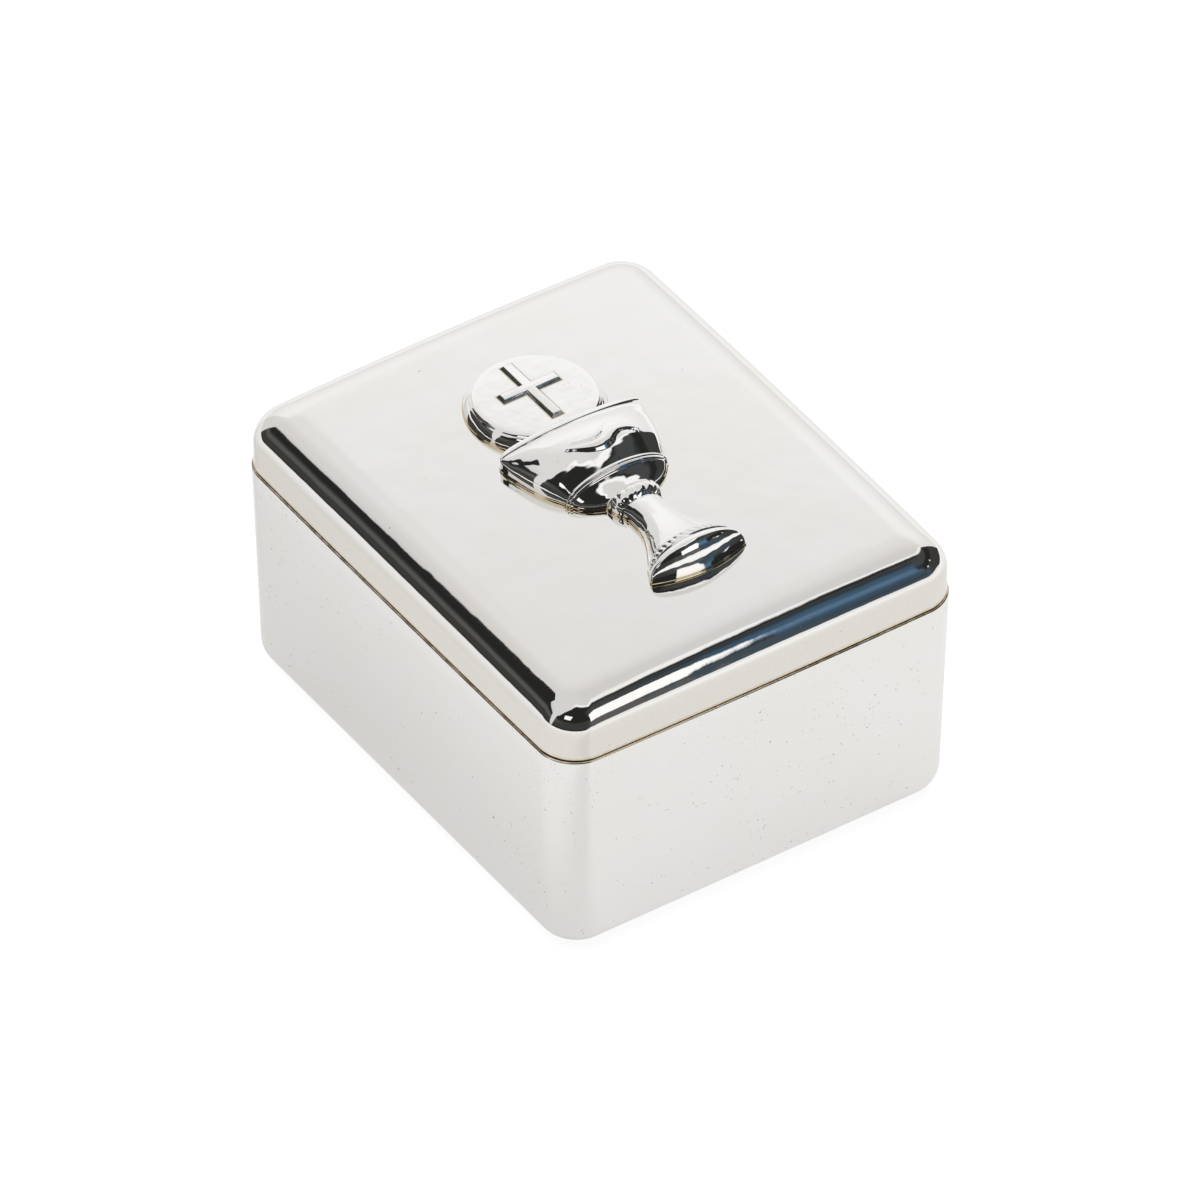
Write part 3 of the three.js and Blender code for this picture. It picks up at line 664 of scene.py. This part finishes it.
RING = [[-4.05, 8.18, 0.62, 3.85, 0.55, 0], [-4.14, 8.24, 0.66, 4.08, 0.55, 0], [-4.35, 8.22, 0.68, 4.1, 0.55, 0], [-4.58, 8.1, 0.66, 3.96, 0.55, 0], [-4.66, 8.0, 0.62, 3.76, 0.55, 0], [-4.74, 8.0, 0.66, 3.8, 0.55, 0],
        [-4.98, 7.86, 0.64, 3.62, 0.55, 0], [-5.1, 7.72, 0.6, 3.38, 0.55, 0]]
CALYX = [[-5.1, 7.72, 0.6, 3.38, 0.55, 0], [-5.9, 7.1, 0.56, 2.8, 0.55, 0], [-6.7, 6.15, 0.55, 2.32, 0.55, 0], [-7.3, 5.1, 0.55, 2.02, 0.52, 0], [-7.65, 4.3, 0.55, 1.95, 0.5, 0]]
KNOP = [[-7.65, 4.3, 0.55, 1.95, 0.5, 0], [-7.8, 3.95, 0.75, 2.6, 0.5, 0], [-8.2, 3.88, 0.9, 3.2, 0.5, 0], [-8.9, 3.82, 0.95, 3.45, 0.5, 0], [-9.6, 3.65, 0.9, 3.25, 0.5, 0], [-10.2, 3.3, 0.75, 2.75, 0.5, 0], [-10.4, 3.02, 0.62, 2.45, 0.5, 0]]
STEM = [[-10.4, 3.02, 0.62, 2.45, 0.5, 0], [-11.5, 2.85, 0.6, 2.6, 0.5, 0], [-13.5, 2.9, 0.6, 2.75, 0.5, 0], [-15.5, 3.3, 0.6, 2.95, 0.5, 0], [-17.4, 4.05, 0.62, 3.25, 0.5, 0.02], [-19.0, 4.95, 0.65, 3.6, 0.5, 0.06],
        [-20.4, 5.8, 0.68, 4.0, 0.5, 0.1], [-21.15, 6.3, 0.72, 4.22, 0.5, 0.13]]
BEAD = [[-21.15, 6.3, 0.7, 4.22, 0.5, 0.13], [-21.35, 6.55, 0.74, 4.5, 0.5, 0.15], [-21.85, 6.83, 0.74, 4.64, 0.5, 0.18], [-22.35, 7.02, 0.7, 4.56, 0.5, 0.2], [-22.5, 7.08, 0.66, 4.36, 0.5, 0.2]]
FOOT = [[-22.5, 7.08, 0.66, 4.36, 0.5, 0.2], [-22.72, 7.25, 0.7, 4.56, 0.5, 0.2], [-23.15, 7.46, 0.7, 4.72, 0.5, 0.2], [-23.55, 7.6, 0.64, 4.74, 0.5, 0.18], [-23.8, 7.56, 0.56, 4.62, 0.5, 0.15]]
LEDGE = ((-0.04, 0.12), (0.19, 0.12), (0.27, 0.1), (0.32, 0.02), (0.4, 0.0))     # thin step along the foot of the walls: height, proud


def emblem():
    cross = 150                       # points over the top of each section
    f = np.linspace(0, math.pi, cross + 1)
    rows = []

    def part(keys, counts, kind):
        made = hermite(keys, counts)
        if rows:
            made = made[1:]
        rows.extend((kind, r) for r in made)

    part(LIP, [3, 4, 4, 3, 3], "lip")
    part(BOWL, [4, 7, 9, 12, 12, 10, 10, 9, 8], "bowl")
    part(RING, [2, 3, 3, 2, 2, 3, 2], "ring")
    part(CALYX, [7, 7, 6, 4], "calyx")
    part(KNOP, [3, 5, 7, 7, 6, 3], "knop")
    part(STEM, [5, 8, 8, 8, 7, 6, 4], "stem")
    part(BEAD, [3, 9, 9, 3], "bead")
    part(FOOT, [3, 5, 5, 3], "foot")

    bottom = -0.04

    def section(y, w, he, hm, e, lean, kind):
        c, sn = np.cos(f), np.sin(f)
        x = -c * w
        top = np.clip(sn, 0, 1) ** (2 * e)
        z = he + (hm - he) * top
        yy = y - lean * (1 - top)
        if kind == "bowl":
            for line, half, high in ((SCROLL_A, 0.8, 0.34), (SCROLL_B, 0.45, 0.18)):
                d, u = segment_distance(x, yy, line)
                width = half * np.clip(np.sin(math.pi * np.clip(u * 0.94 + 0.03, 0, 1)), 0.22, 1) ** 0.7
                z = z + high * np.clip(1 - (d / width) ** 2, 0, 1) ** 0.6
        arc = np.arange(len(f)) / (len(f) - 1)
        if kind == "knop":
            along = (y + 7.65) / -2.75
            body = math.sin(math.pi * min(max(along, 0), 1)) ** 0.5 if 0 < along < 1 else 0
            twist = np.abs(np.sin(math.pi * (arc * 8 + along * 0.4)))
            z = z - 0.15 * (1 - twist) ** 1.1 * body * np.clip(top * 4, 0, 1)
        if kind == "bead":
            along = (y + 21.15) / -1.2
            body = math.sin(math.pi * min(max(along, 0), 1)) ** 0.5 if 0 < along < 1 else 0
            twist = np.abs(np.sin(math.pi * (arc * 19 - along * 0.8)))
            z = z - 0.26 * (1 - twist) ** 1.3 * body * np.clip(top * 4, 0, 1)
        # near-vertical side walls over a thin ledge
        wall = [(o, h) for h, o in LEDGE] + [(0.0, 0.4 + (he - 0.4) * 0.5), (0.0, he - 0.02)]
        left = [(-(w + o), y - lean, zz) for o, zz in wall]
        right = [((w + o), y - lean, zz) for o, zz in reversed(wall)]
        return np.r_[left, np.c_[x, yy, z], right]

    rings = []
    k0, r0 = rows[0]
    first = section(*r0, k0)
    flat = first.copy()
    flat[:, 2] = bottom
    rings.append(flat)
    for s in (0.35, 0.7):
        q = first.copy()
        q[:, 2] = bottom + (q[:, 2] - bottom) * s
        rings.append(q)
    rings += [section(*r, k) for k, r in rows]
    # the foot's front: rounded over at the top, then almost upright, down to the ledge
    edge = rings[-1]
    xs = np.clip(edge[:, 0] / 7.65, -1, 1)
    contact = -25.5 + 1.5 * xs ** 2
    low, steps = LEDGE[-1][0], 34
    q = (np.arange(steps) + 0.5) / steps
    a = np.radians(4 + 50 * (1 - q) ** 2.2)
    go_y, go_z = np.cumsum(np.sin(a)), np.cumsum(np.cos(a))
    rng = np.random.default_rng(11)
    waves = [(rng.uniform(1.2, 5.0), rng.uniform(0.8, 2.6), rng.uniform(0, 6.28), rng.choice([-1, 1])) for _ in range(12)]
    for gy, gz in zip(go_y / go_y[-1], go_z / go_z[-1]):
        r = edge.copy()
        r[:, 1] = edge[:, 1] + (contact - edge[:, 1]) * gy
        r[:, 2] = np.where(edge[:, 2] > low, low + (edge[:, 2] - low) * (1 - gz), edge[:, 2])
        uneven = sum(np.sin(kx * r[:, 0] + side * kz * r[:, 2] + ph) for kx, kz, ph, side in waves) / 3.5
        r[:, 1] += 0.006 * uneven * (r[:, 2] > low) * math.sin(math.pi * gz) ** 0.5 * np.clip((7.5 - np.abs(r[:, 0])) / 1.5, 0, 1)
        rings.append(r)
    for high, proud in reversed(LEDGE[:-1]):
        r = rings[-1].copy()
        r[:, 2] = np.minimum(r[:, 2], high)
        r[:, 1] = contact - proud
        rings.append(r)
    rings[-1][:, 2] = bottom
    n = len(rings[0])
    v = np.concatenate(rings)
    faces = []
    for k in range(len(rings) - 1):
        for i in range(n - 1):
            faces.append((k * n + i, k * n + i + 1, (k + 1) * n + i + 1, (k + 1) * n + i))
    last = len(rings) - 1
    # underside: strips from left to right, and one polygon at each end
    faces.append(tuple([i for i in range(n)][::-1]) + (n, 2 * n - 1))
    for k in range(1, last - 1):
        faces.append((k * n, (k + 1) * n, (k + 1) * n + n - 1, k * n + n - 1))
    faces.append(((last - 1) * n, *[last * n + i for i in range(n)], (last - 1) * n + n - 1))
    chalice = make("emblem_fine", v, faces)

    host = turned("host", [(0, -0.04), (10.0, -0.04), (10.0, 0.19), (9.98, 0.27), (9.9, 0.32), (9.88, 0.42), (9.8, 0.68), (9.68, 0.98), (9.53, 1.28), (9.35, 1.56), (9.17, 1.8), (9.06, 1.92), (9.0, 1.96), (8.95, 1.99),
                           (8.9, 2.05), (8.82, 2.17), (8.7, 2.28), (8.54, 2.36), (8.3, 2.4), (7.9, 2.41), (6.0, 2.42), (4.0, 2.42), (0, 2.42)], (0, 15.5, 0), n=200)

    def cross_ring(inset, z):
        """Plain upright cross."""
        h, t, l, m = CROSS[3] - inset, CROSS[1] - inset, CROSS[2] - inset, CROSS[4] - inset
        q = [(h, h), (h, t), (-h, t), (-h, h), (-m, h), (-m, -h), (-h, -h), (-h, -l), (h, -l), (h, -h), (m, -h), (m, h)]
        cy = CROSS[0]
        return np.array([(px, py + cy, z) for px, py in q])

    rings = [cross_ring(-0.12, 2.1), cross_ring(-0.12, 2.4), cross_ring(-0.05, 2.5), cross_ring(0.03, 2.64), cross_ring(0.12, 2.78), cross_ring(0.22, 2.88), cross_ring(0.34, 2.94), cross_ring(0.46, 2.96)]
    nn = len(rings[0])
    v = np.concatenate(rings)
    faces = [tuple(range(nn))[::-1], tuple((len(rings) - 1) * nn + i for i in range(nn))]
    for k in range(len(rings) - 1):
        for i in range(nn):
            j = (i + 1) % nn
            faces.append((k * nn + i, k * nn + j, (k + 1) * nn + j, (k + 1) * nn + i))
    cr = make("cross", v, faces)
    boolean(host, cr, "UNION")
    boolean(chalice, host, "UNION")
    # set it on the crowned lid
    me = chalice.data
    co = np.zeros(len(me.vertices) * 3)
    me.vertices.foreach_get("co", co)
    co = co.reshape(-1, 3)
    co[:, 2] += H - sag(co[:, 0], co[:, 1])
    me.vertices.foreach_set("co", co.ravel())
    me.update()
    return chalice


casting = emblem()
finish_mesh(casting, "lid", ["emblem_casting"], 30, [M["emblem"]])


# ---------------------------------------------------------------- lining
def band_ring(inset, z):
    return at(outline(2 * (BAND_X - inset), BAND_BACK - BAND_FRONT - 2 * inset, BAND_R - inset * 0.8, 0, 0, 0, MID_Y, arc=14, side=26), z)


def ripple(v, amount, scale, seed):
    """Smooth unevenness for cloth: a few fixed waves."""
    rng = np.random.default_rng(seed)
    out = np.zeros(len(v))
    for _ in range(14):
        k = rng.normal(size=3) * scale
        out += np.sin(v @ k + rng.uniform(0, 6.28))
    return out * amount / 3.7


def wall_velvet():
    outer_in, rings = CARD_T + SKIN_GAP, []
    rings += [band_ring(outer_in, BAND_BOTTOM), band_ring(outer_in, 20), band_ring(outer_in, CARD_TOP + SKIN_GAP), band_ring(0.05, CARD_TOP + SKIN_GAP), band_ring(0.0, CARD_TOP + SKIN_GAP + 0.15)]
    c, rz = INSET / 2, (VELVET_TOP - CARD_TOP - SKIN_GAP - 0.15)
    for i in range(1, 12):
        t = math.pi * i / 12
        rings.append(band_ring(c - c * math.cos(t), CARD_TOP + SKIN_GAP + 0.15 + rz * math.sin(t) ** 0.8))
    for z in np.r_[VELVET_TOP - 0.85, np.linspace(34.6, 5, 16), BAND_BOTTOM]:
        rings.append(band_ring(INSET, float(z)))
    v, f = loft(rings, closed=True)
    inner = v[:, 2] > BAND_BOTTOM + 0.5
    n = v - np.array([0, MID_Y, 0])
    n[:, 2] = 0
    n /= np.linalg.norm(n, axis=1)[:, None] + 1e-9
    soft = ripple(v, 0.09, 0.35, 3) * inner
    face = (np.abs(np.abs(v[:, 0]) - (BAND_X - INSET)) < 0.05) | (np.abs(v[:, 1] - (BAND_BACK - INSET)) < 0.05) | (np.abs(v[:, 1] - (BAND_FRONT + INSET)) < 0.05)
    v = v + n * (soft * face)[:, None]
    return make("wall_velvet_lining", v, f)


def pad(name, ring, z0, z1, crown, shrink, seed, up=1):
    """A thin padded board: flat against its card, crowned on the other side, with the cloth pulled in at the edge."""
    rings = []
    thick = abs(z1 - z0)
    rings.append(ring(shrink + 0.5, z0))
    rings.append(ring(shrink + 0.15, z0 + up * 0.06))
    for i in range(9):
        t = math.pi / 2 * i / 8
        rings.append(ring(shrink + 1.5 * (1 - math.cos(t)) ** 1.1, z0 + up * (0.12 + (thick - crown - 0.12) * math.sin(t))))
    base_ring = rings[-1]
    centre = base_ring[:, :2].mean(0)
    for s in np.linspace(0.93, 0.08, 16):
        r = base_ring.copy()
        r[:, :2] = centre + (r[:, :2] - centre) * s
        r[:, 2] = z0 + up * (thick - crown + crown * (1 - s ** 2.6))
        rings.append(r)
    v, f = loft(rings, start=(centre[0], centre[1], z0), end=(centre[0], centre[1], z0 + up * thick))
    top = (v[:, 2] - z0) * up > (thick - crown) * 0.55
    v[:, 2] += up * (ripple(v, 0.07, 0.22, seed) - 0.07) * top
    return make(name, v, f)


velvet_wall = wall_velvet()
finish_mesh(velvet_wall, "base", ["wall_velvet"], 60, [M["velvet"]])
floor_pad = pad("floor_pad_velvet", lambda s, z: band_ring(INSET + 0.3 + s, z), 3.9, 6.4, 0.7, 0.0, 5)
finish_mesh(floor_pad, "base", ["floor_pad"], 60, [M["velvet"]])
lid_pad = pad("lid_pad_velvet", lambda s, z: at(outline(56.0 - 2 * s, 70.0 - 2 * s, 3.0, arc=14, side=26), z), 41.2, 39.6, 0.45, 0.0, 9, up=-1)
finish_mesh(lid_pad, "lid", ["lid_pad"], 60, [M["velvet"]])


def felt_pad():
    rings = [at(outline(53.6, 68.0, 2.8), 0.0), at(outline(54.0, 68.4, 2.95), 0.05), at(outline(54.2, 68.6, 3.0), 0.25), at(outline(54.2, 68.6, 3.0), 0.75), at(outline(54.0, 68.4, 2.95), 0.95), at(outline(53.6, 68.0, 2.8), 0.98)]
    v, f = loft(rings, start=(0, 0, 0.0), end=(0, 0, 0.98))
    side = (v[:, 2] > 0.03) & (v[:, 2] < 0.97)
    v[:, :2] *= 1 + (ripple(v, 0.0016, 1.3, 4) * side)[:, None]
    return make("base_felt_pad", v, f)


felt_piece = felt_pad()
finish_mesh(felt_piece, "base", ["base_felt"], 50, [M["felt"]])

# ---------------------------------------------------------------- CAD nodes that stay
KEEP = {"wall_card": "card", "floor_card": "card", "lid_card": "card", "hinge_base_leaf": "leaf", "hinge_lid_leaf": "leaf", "hinge_pin": "pin",
        "emblem_washer_upper": "washer", "emblem_washer_lower": "washer"}
for which in ("base", "lid"):
    for side in ("left", "mid", "right"):
        KEEP[f"{which}_leaf_screw_{side}"] = "screw"
for node, key in KEEP.items():
    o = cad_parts[node]
    if not o.material_slots:
        o.data.materials.append(M[key])
    for s in o.material_slots:
        s.material = M[key]


# ---------------------------------------------------------------- camera
cam = bpy.data.cameras.new("camera")
cam.lens, cam.sensor_width, cam.sensor_fit = 603.302, 36.0, "HORIZONTAL"
cam.clip_start, cam.clip_end = 0.1, 30
eye = bpy.data.objects.new("camera", cam)
scene.collection.objects.link(eye)
right = Vector((0.8290000670, -0.5592484733, 0.0001842644))
down = Vector((-0.3641211872, -0.5400038212, -0.7588225313))
ahead = Vector((0.4244698456, 0.6289968348, -0.6512974221))
rot = Matrix((right, -down, -ahead)).transposed().to_4x4()
eye.matrix_world = Matrix.Translation((-1.16240779, -1.72275832, 1.80522402)) @ rot
scene.camera = eye

# ---------------------------------------------------------------- floor
floor_size = 2.2
ring_out = [(floor_size * math.cos(a), floor_size * math.sin(a), -0.00005) for a in np.linspace(0, 2 * math.pi, 96, endpoint=False)]
fm = bpy.data.meshes.new("floor")
fm.from_pydata(ring_out, [], [list(range(96))])
floor = bpy.data.objects.new("floor", fm)
scene.collection.objects.link(floor)
mat = bpy.data.materials.new("pale_floor")
mat.use_nodes = True
mat.node_tree.nodes.clear()
g = Nodes(mat.node_tree)
out = g.new("ShaderNodeOutputMaterial")
seen = g.new("ShaderNodeLightPath").outputs["Is Camera Ray"]
diffuse = g.new("ShaderNodeBsdfDiffuse")
g.put(diffuse.inputs["Color"], g.mix(seen, (0.30, 0.30, 0.30), (0.22, 0.22, 0.22)))
glow = g.new("ShaderNodeEmission")
g.put(glow.inputs["Color"], g.mix(g.new("ShaderNodeLightPath").outputs["Is Camera Ray"], (1.0, 0.996, 0.986), (1.0, 1.0, 1.0)))
spot = g.coords()
fx, fy, _ = g.xyz(spot)
far = g.math("SQRT", g.add(g.mul(fx, fx), g.mul(fy, fy)))
# floor glow seen only in reflections: dimmer within about half a metre of the box and in strips off its left side, a
# painted shade
reflected_glow_painted_shade = g.add(g.step(far, 60.0, 480.0, 0.605, 0.70), g.mul(g.mul(g.step(fy, -40.0, 90.0), g.step(fx, -20.0, -45.0)), -0.085))
reflected_glow_painted_shade = g.sub(reflected_glow_painted_shade, g.mul(g.mul(g.step(fx, -62.0, -37.0), g.step(fx, -20.0, -34.0)), 0.09))
g.put(glow.inputs["Strength"], g.math("ADD", g.mul(seen, 0.88), g.mul(g.inv(seen), reflected_glow_painted_shade)))
both = g.new("ShaderNodeAddShader")
g.t.links.new(diffuse.outputs[0], both.inputs[0])
g.t.links.new(glow.outputs[0], both.inputs[1])
clear = g.new("ShaderNodeBsdfTransparent")
one_sided = g.new("ShaderNodeMixShader")
g.t.links.new(g.new("ShaderNodeNewGeometry").outputs["Backfacing"], one_sided.inputs[0])
g.t.links.new(both.outputs[0], one_sided.inputs[1])
g.t.links.new(clear.outputs[0], one_sided.inputs[2])
g.t.links.new(one_sided.outputs[0], out.inputs["Surface"])
fm.materials.append(mat)

# ---------------------------------------------------------------- studio: surroundings, cards and soft light
world = bpy.data.worlds.new("studio")
scene.world = world
world.use_nodes = True
world.node_tree.nodes.clear()
g = Nodes(world.node_tree)
direction = g.new("ShaderNodeTexCoord").outputs["Generated"]
dx, dy, dz = g.xyz(direction)
az = g.mul(g.math("ARCTAN2", dx, g.mul(dy, -1.0)), 180 / math.pi)      # 0 in front, 90 to the right
el = g.mul(g.math("ARCSINE", dz), 180 / math.pi)


def ramp(fac, stops):
    """Piecewise linear values over 0 to 1."""
    n = g.new("ShaderNodeValToRGB")
    e = n.color_ramp.elements
    e[0].position, e[0].color = stops[0][0], (stops[0][1],) * 3 + (1,)
    e[1].position, e[1].color = stops[-1][0], (stops[-1][1],) * 3 + (1,)
    for p, v in stops[1:-1]:
        e.new(p).color = (v, v, v, 1)
    g.put(n.inputs[0], fac)
    return g.xyz(n.outputs[0])[0]


turn = g.math("DIVIDE", g.add(az, 180.0), 360.0)
# top of the dark surroundings at each azimuth, in degrees
tops = [(-180, -10), (-158, -10), (-151, 36), (-143, 37.5), (-130, 36), (-115, 33), (-105, 30), (-100, 0), (-94, 0), (-90, 33), (-84, 37), (-76, 50), (-65, 59), (-45, 70), (-30, 72), (-15, 69), (0, 66), (12, 63), (25, 58), (48, 57), (60, 58), (75, 50), (82, 47), (98, 40), (108, -10), (180, -10)]
top_of_dark = g.sub(g.mul(ramp(turn, [((a + 180) / 360, (t + 20) / 110) for a, t in tops]), 110.0), 20.0)
above = g.sub(el, top_of_dark)
lit = g.step(above, -1.2, 1.2)
# ceiling: brightest straight behind, duller towards the front, a brighter rim over the front screen
toward = g.new("ShaderNodeVectorMath", operation="DOT_PRODUCT")
g.t.links.new(direction, toward.inputs[0])
toward.inputs[1].default_value = (0.4245, 0.629, 0.6513)
ceiling = g.add(0.685, g.mul(g.step(toward.outputs["Value"], 0.74, 1.0), 0.125))
ceiling = g.add(ceiling, g.mul(g.step(dx, 0.25, -0.05), 0.03))
ceiling = g.add(ceiling, g.mul(g.mul(g.step(az, 60, 115), g.step(el, 46, 34)), 0.14))
ceiling = g.add(ceiling, g.mul(g.mul(g.step(above, 6.5, 4.0), g.step(az, -70, -40)), 0.25))
ceiling = g.sub(ceiling, g.mul(g.mul(g.step(above, 12.0, 1.0), g.step(az, -75, -110)), 0.05))
ceiling = g.math("MINIMUM", ceiling, 0.97)
ceiling_colour = g.mix(g.step(ceiling, 0.70, 0.92), (1.0, 0.985, 0.965), (1.0, 0.998, 0.992))
low_strip = g.step(el, 5.0, 2.0)
high_strip = g.step(el, 25.0, 29.0)
dark = g.mix(g.math("MAXIMUM", low_strip, high_strip), (0.045, 0.045, 0.042), (0.02, 0.02, 0.019))
dark = g.mix(g.mul(g.band(el, 14, 18, 22, 26), g.step(az, -60, -100)), dark, (0.095, 0.095, 0.088))
dark = g.mix(g.mul(g.band(el, 36, 42, 51, 56), g.step(az, -5, 15)), dark, (0.058, 0.061, 0.062))
dark = g.mix(g.mul(g.band(el, 3, 8, 22, 26), g.mul(g.step(az, -5, 15), g.step(az, 60, 40))), dark, g.mix(g.step(az, 24.9, 25.6), (0.11, 0.11, 0.11), (0.054, 0.076, 0.096)))
light_spots = g.math("MAXIMUM", g.mul(g.band(az, 45, 47, 49, 51), g.band(el, 24, 25, 27, 28)), g.mul(g.band(az, 64, 65, 67, 68), g.band(el, 26, 27, 29, 30)))
scaled = g.new("ShaderNodeVectorMath", operation="SCALE")
g.t.links.new(ceiling_colour, scaled.inputs[0])
g.put(scaled.inputs["Scale"], ceiling)
sky = g.mix(lit, dark, scaled.outputs[0])
sky = g.mix(light_spots, sky, (1.0, 1.0, 1.0))
ground = g.step(g.sub(el, g.add(g.mul(g.band(az, -15, 5, 60, 85), 6.8), g.mul(g.step(az, -110, -130), 2.0))), -3.0, -1.0)
sky = g.mix(ground, (0.88, 0.88, 0.875), sky)
camera_ray = g.new("ShaderNodeLightPath").outputs["Is Camera Ray"]
sky = g.mix(camera_ray, sky, (1.0, 1.0, 1.0))
background = g.new("ShaderNodeBackground")
g.put(background.inputs["Color"], sky)
background.inputs["Strength"].default_value = 1.0
out = g.new("ShaderNodeOutputWorld")
g.t.links.new(background.outputs[0], out.inputs["Surface"])


def reflector(name, corners, colour, strength):
    """A card that only shows in reflections."""
    me = bpy.data.meshes.new(name)
    me.from_pydata(corners, [], [list(range(len(corners)))])
    o = bpy.data.objects.new(name, me)
    scene.collection.objects.link(o)
    m = bpy.data.materials.new(name)
    m.use_nodes = True
    m.node_tree.nodes.clear()
    q = Nodes(m.node_tree)
    e = q.new("ShaderNodeEmission")
    e.inputs["Color"].default_value = (*colour, 1)
    e.inputs["Strength"].default_value = strength
    q.t.links.new(e.outputs[0], q.new("ShaderNodeOutputMaterial").inputs["Surface"])
    me.materials.append(m)
    o.visible_camera = o.visible_diffuse = o.visible_shadow = False
    return o


def on_plane(azimuth, distance, points):
    """Points (sideways, height) on an upright plane at that azimuth and distance."""
    a = math.radians(azimuth)
    n, s = Vector((math.sin(a), -math.cos(a), 0)), Vector((math.cos(a), math.sin(a), 0))
    return [tuple(n * distance + s * u + Vector((0, 0, h))) for u, h in points]


white = reflector("white_card", on_plane(29, 0.8, [(-0.34, 0.365), (-0.066, 0.365), (-0.058, 0.40), (-0.006, 0.50), (0.024, 0.57), (0.036, 0.63), (0.036, 0.70), (0.032, 0.745), (-0.06, 0.765), (-0.34, 0.77)]), (1.0, 0.995, 0.985), 1.08)
wt = Nodes(white.data.materials[0].node_tree)
wx, wy, wz = wt.xyz(wt.coords(1.0))
sideways = wt.add(wt.mul(wx, math.cos(math.radians(29))), wt.mul(wy, math.sin(math.radians(29))))
border = wt.math("MINIMUM", wt.add(wt.mul(wt.sub(wz, 0.50), 0.37), -0.009), 0.034)
for node in wt.t.nodes:
    if node.type == "EMISSION":
        wt.put(node.inputs["Color"], wt.mix(wt.step(wt.sub(border, sideways), -0.002, 0.022), (0.13, 0.2, 0.27), (1.0, 0.995, 0.985)))
blue = reflector("blue_card", on_plane(29, 0.82, [(-0.03, 0.20), (-0.026, 0.40), (-0.002, 0.51), (0.012, 0.56), (0.03, 0.62), (0.045, 0.72), (0.06, 0.80), (0.09, 1.08), (0.33, 1.10), (0.2, 0.80), (0.145, 0.67), (0.105, 0.55), (0.08, 0.40), (0.06, 0.20)]), (0.1, 0.17, 0.27), 1.0)
bt = Nodes(blue.data.materials[0].node_tree)
tall = bt.xyz(bt.coords(1.0))[2]
shade = bt.new("ShaderNodeValToRGB")
elements = shade.color_ramp.elements
elements[0].position, elements[0].color = 0.16, (0.045, 0.05, 0.055, 1)
elements[1].position, elements[1].color = 1.0, (0.03, 0.045, 0.056, 1)
for at_height, tone in ((0.3, (0.046, 0.07, 0.095)), (0.42, (0.052, 0.09, 0.135)), (0.5, (0.083, 0.155, 0.245)), (0.6, (0.1, 0.18, 0.285)), (0.68, (0.06, 0.115, 0.185)), (0.84, (0.045, 0.095, 0.15)), (0.93, (0.036, 0.062, 0.09))):
    elements.new(at_height).color = (*tone, 1)
bt.put(shade.inputs[0], tall)
for node in bt.t.nodes:
    if node.type == "EMISSION":
        bt.put(node.inputs["Color"], shade.outputs[0])
reflector("left_screen", on_plane(-142, 0.8, [(-0.06, 0.95), (-0.022, 0.725), (0.0086, 0.586), (0.012, 0.50), (0.20, 0.50), (0.20, 0.95)]), (0.02, 0.02, 0.019), 1.0)
reflector("side_card", on_plane(-60, 0.8, [(-0.09, 0.56), (0.16, 0.56), (0.24, 0.83), (-0.09, 0.80)]), (1.0, 0.995, 0.98), 1.05)

lamp = bpy.data.lights.new("soft_light", "AREA")
lamp.shape, lamp.size, lamp.energy = "DISK", 2.4, 30.0
lamp_o = bpy.data.objects.new("soft_light", lamp)
lamp_o.location = (-0.2, -0.3, 2.2)
lamp_o.rotation_euler = (Vector((-0.2, -0.3, 2.2))).to_track_quat("Z", "Y").to_euler()
lamp_o.visible_glossy = False
scene.collection.objects.link(lamp_o)
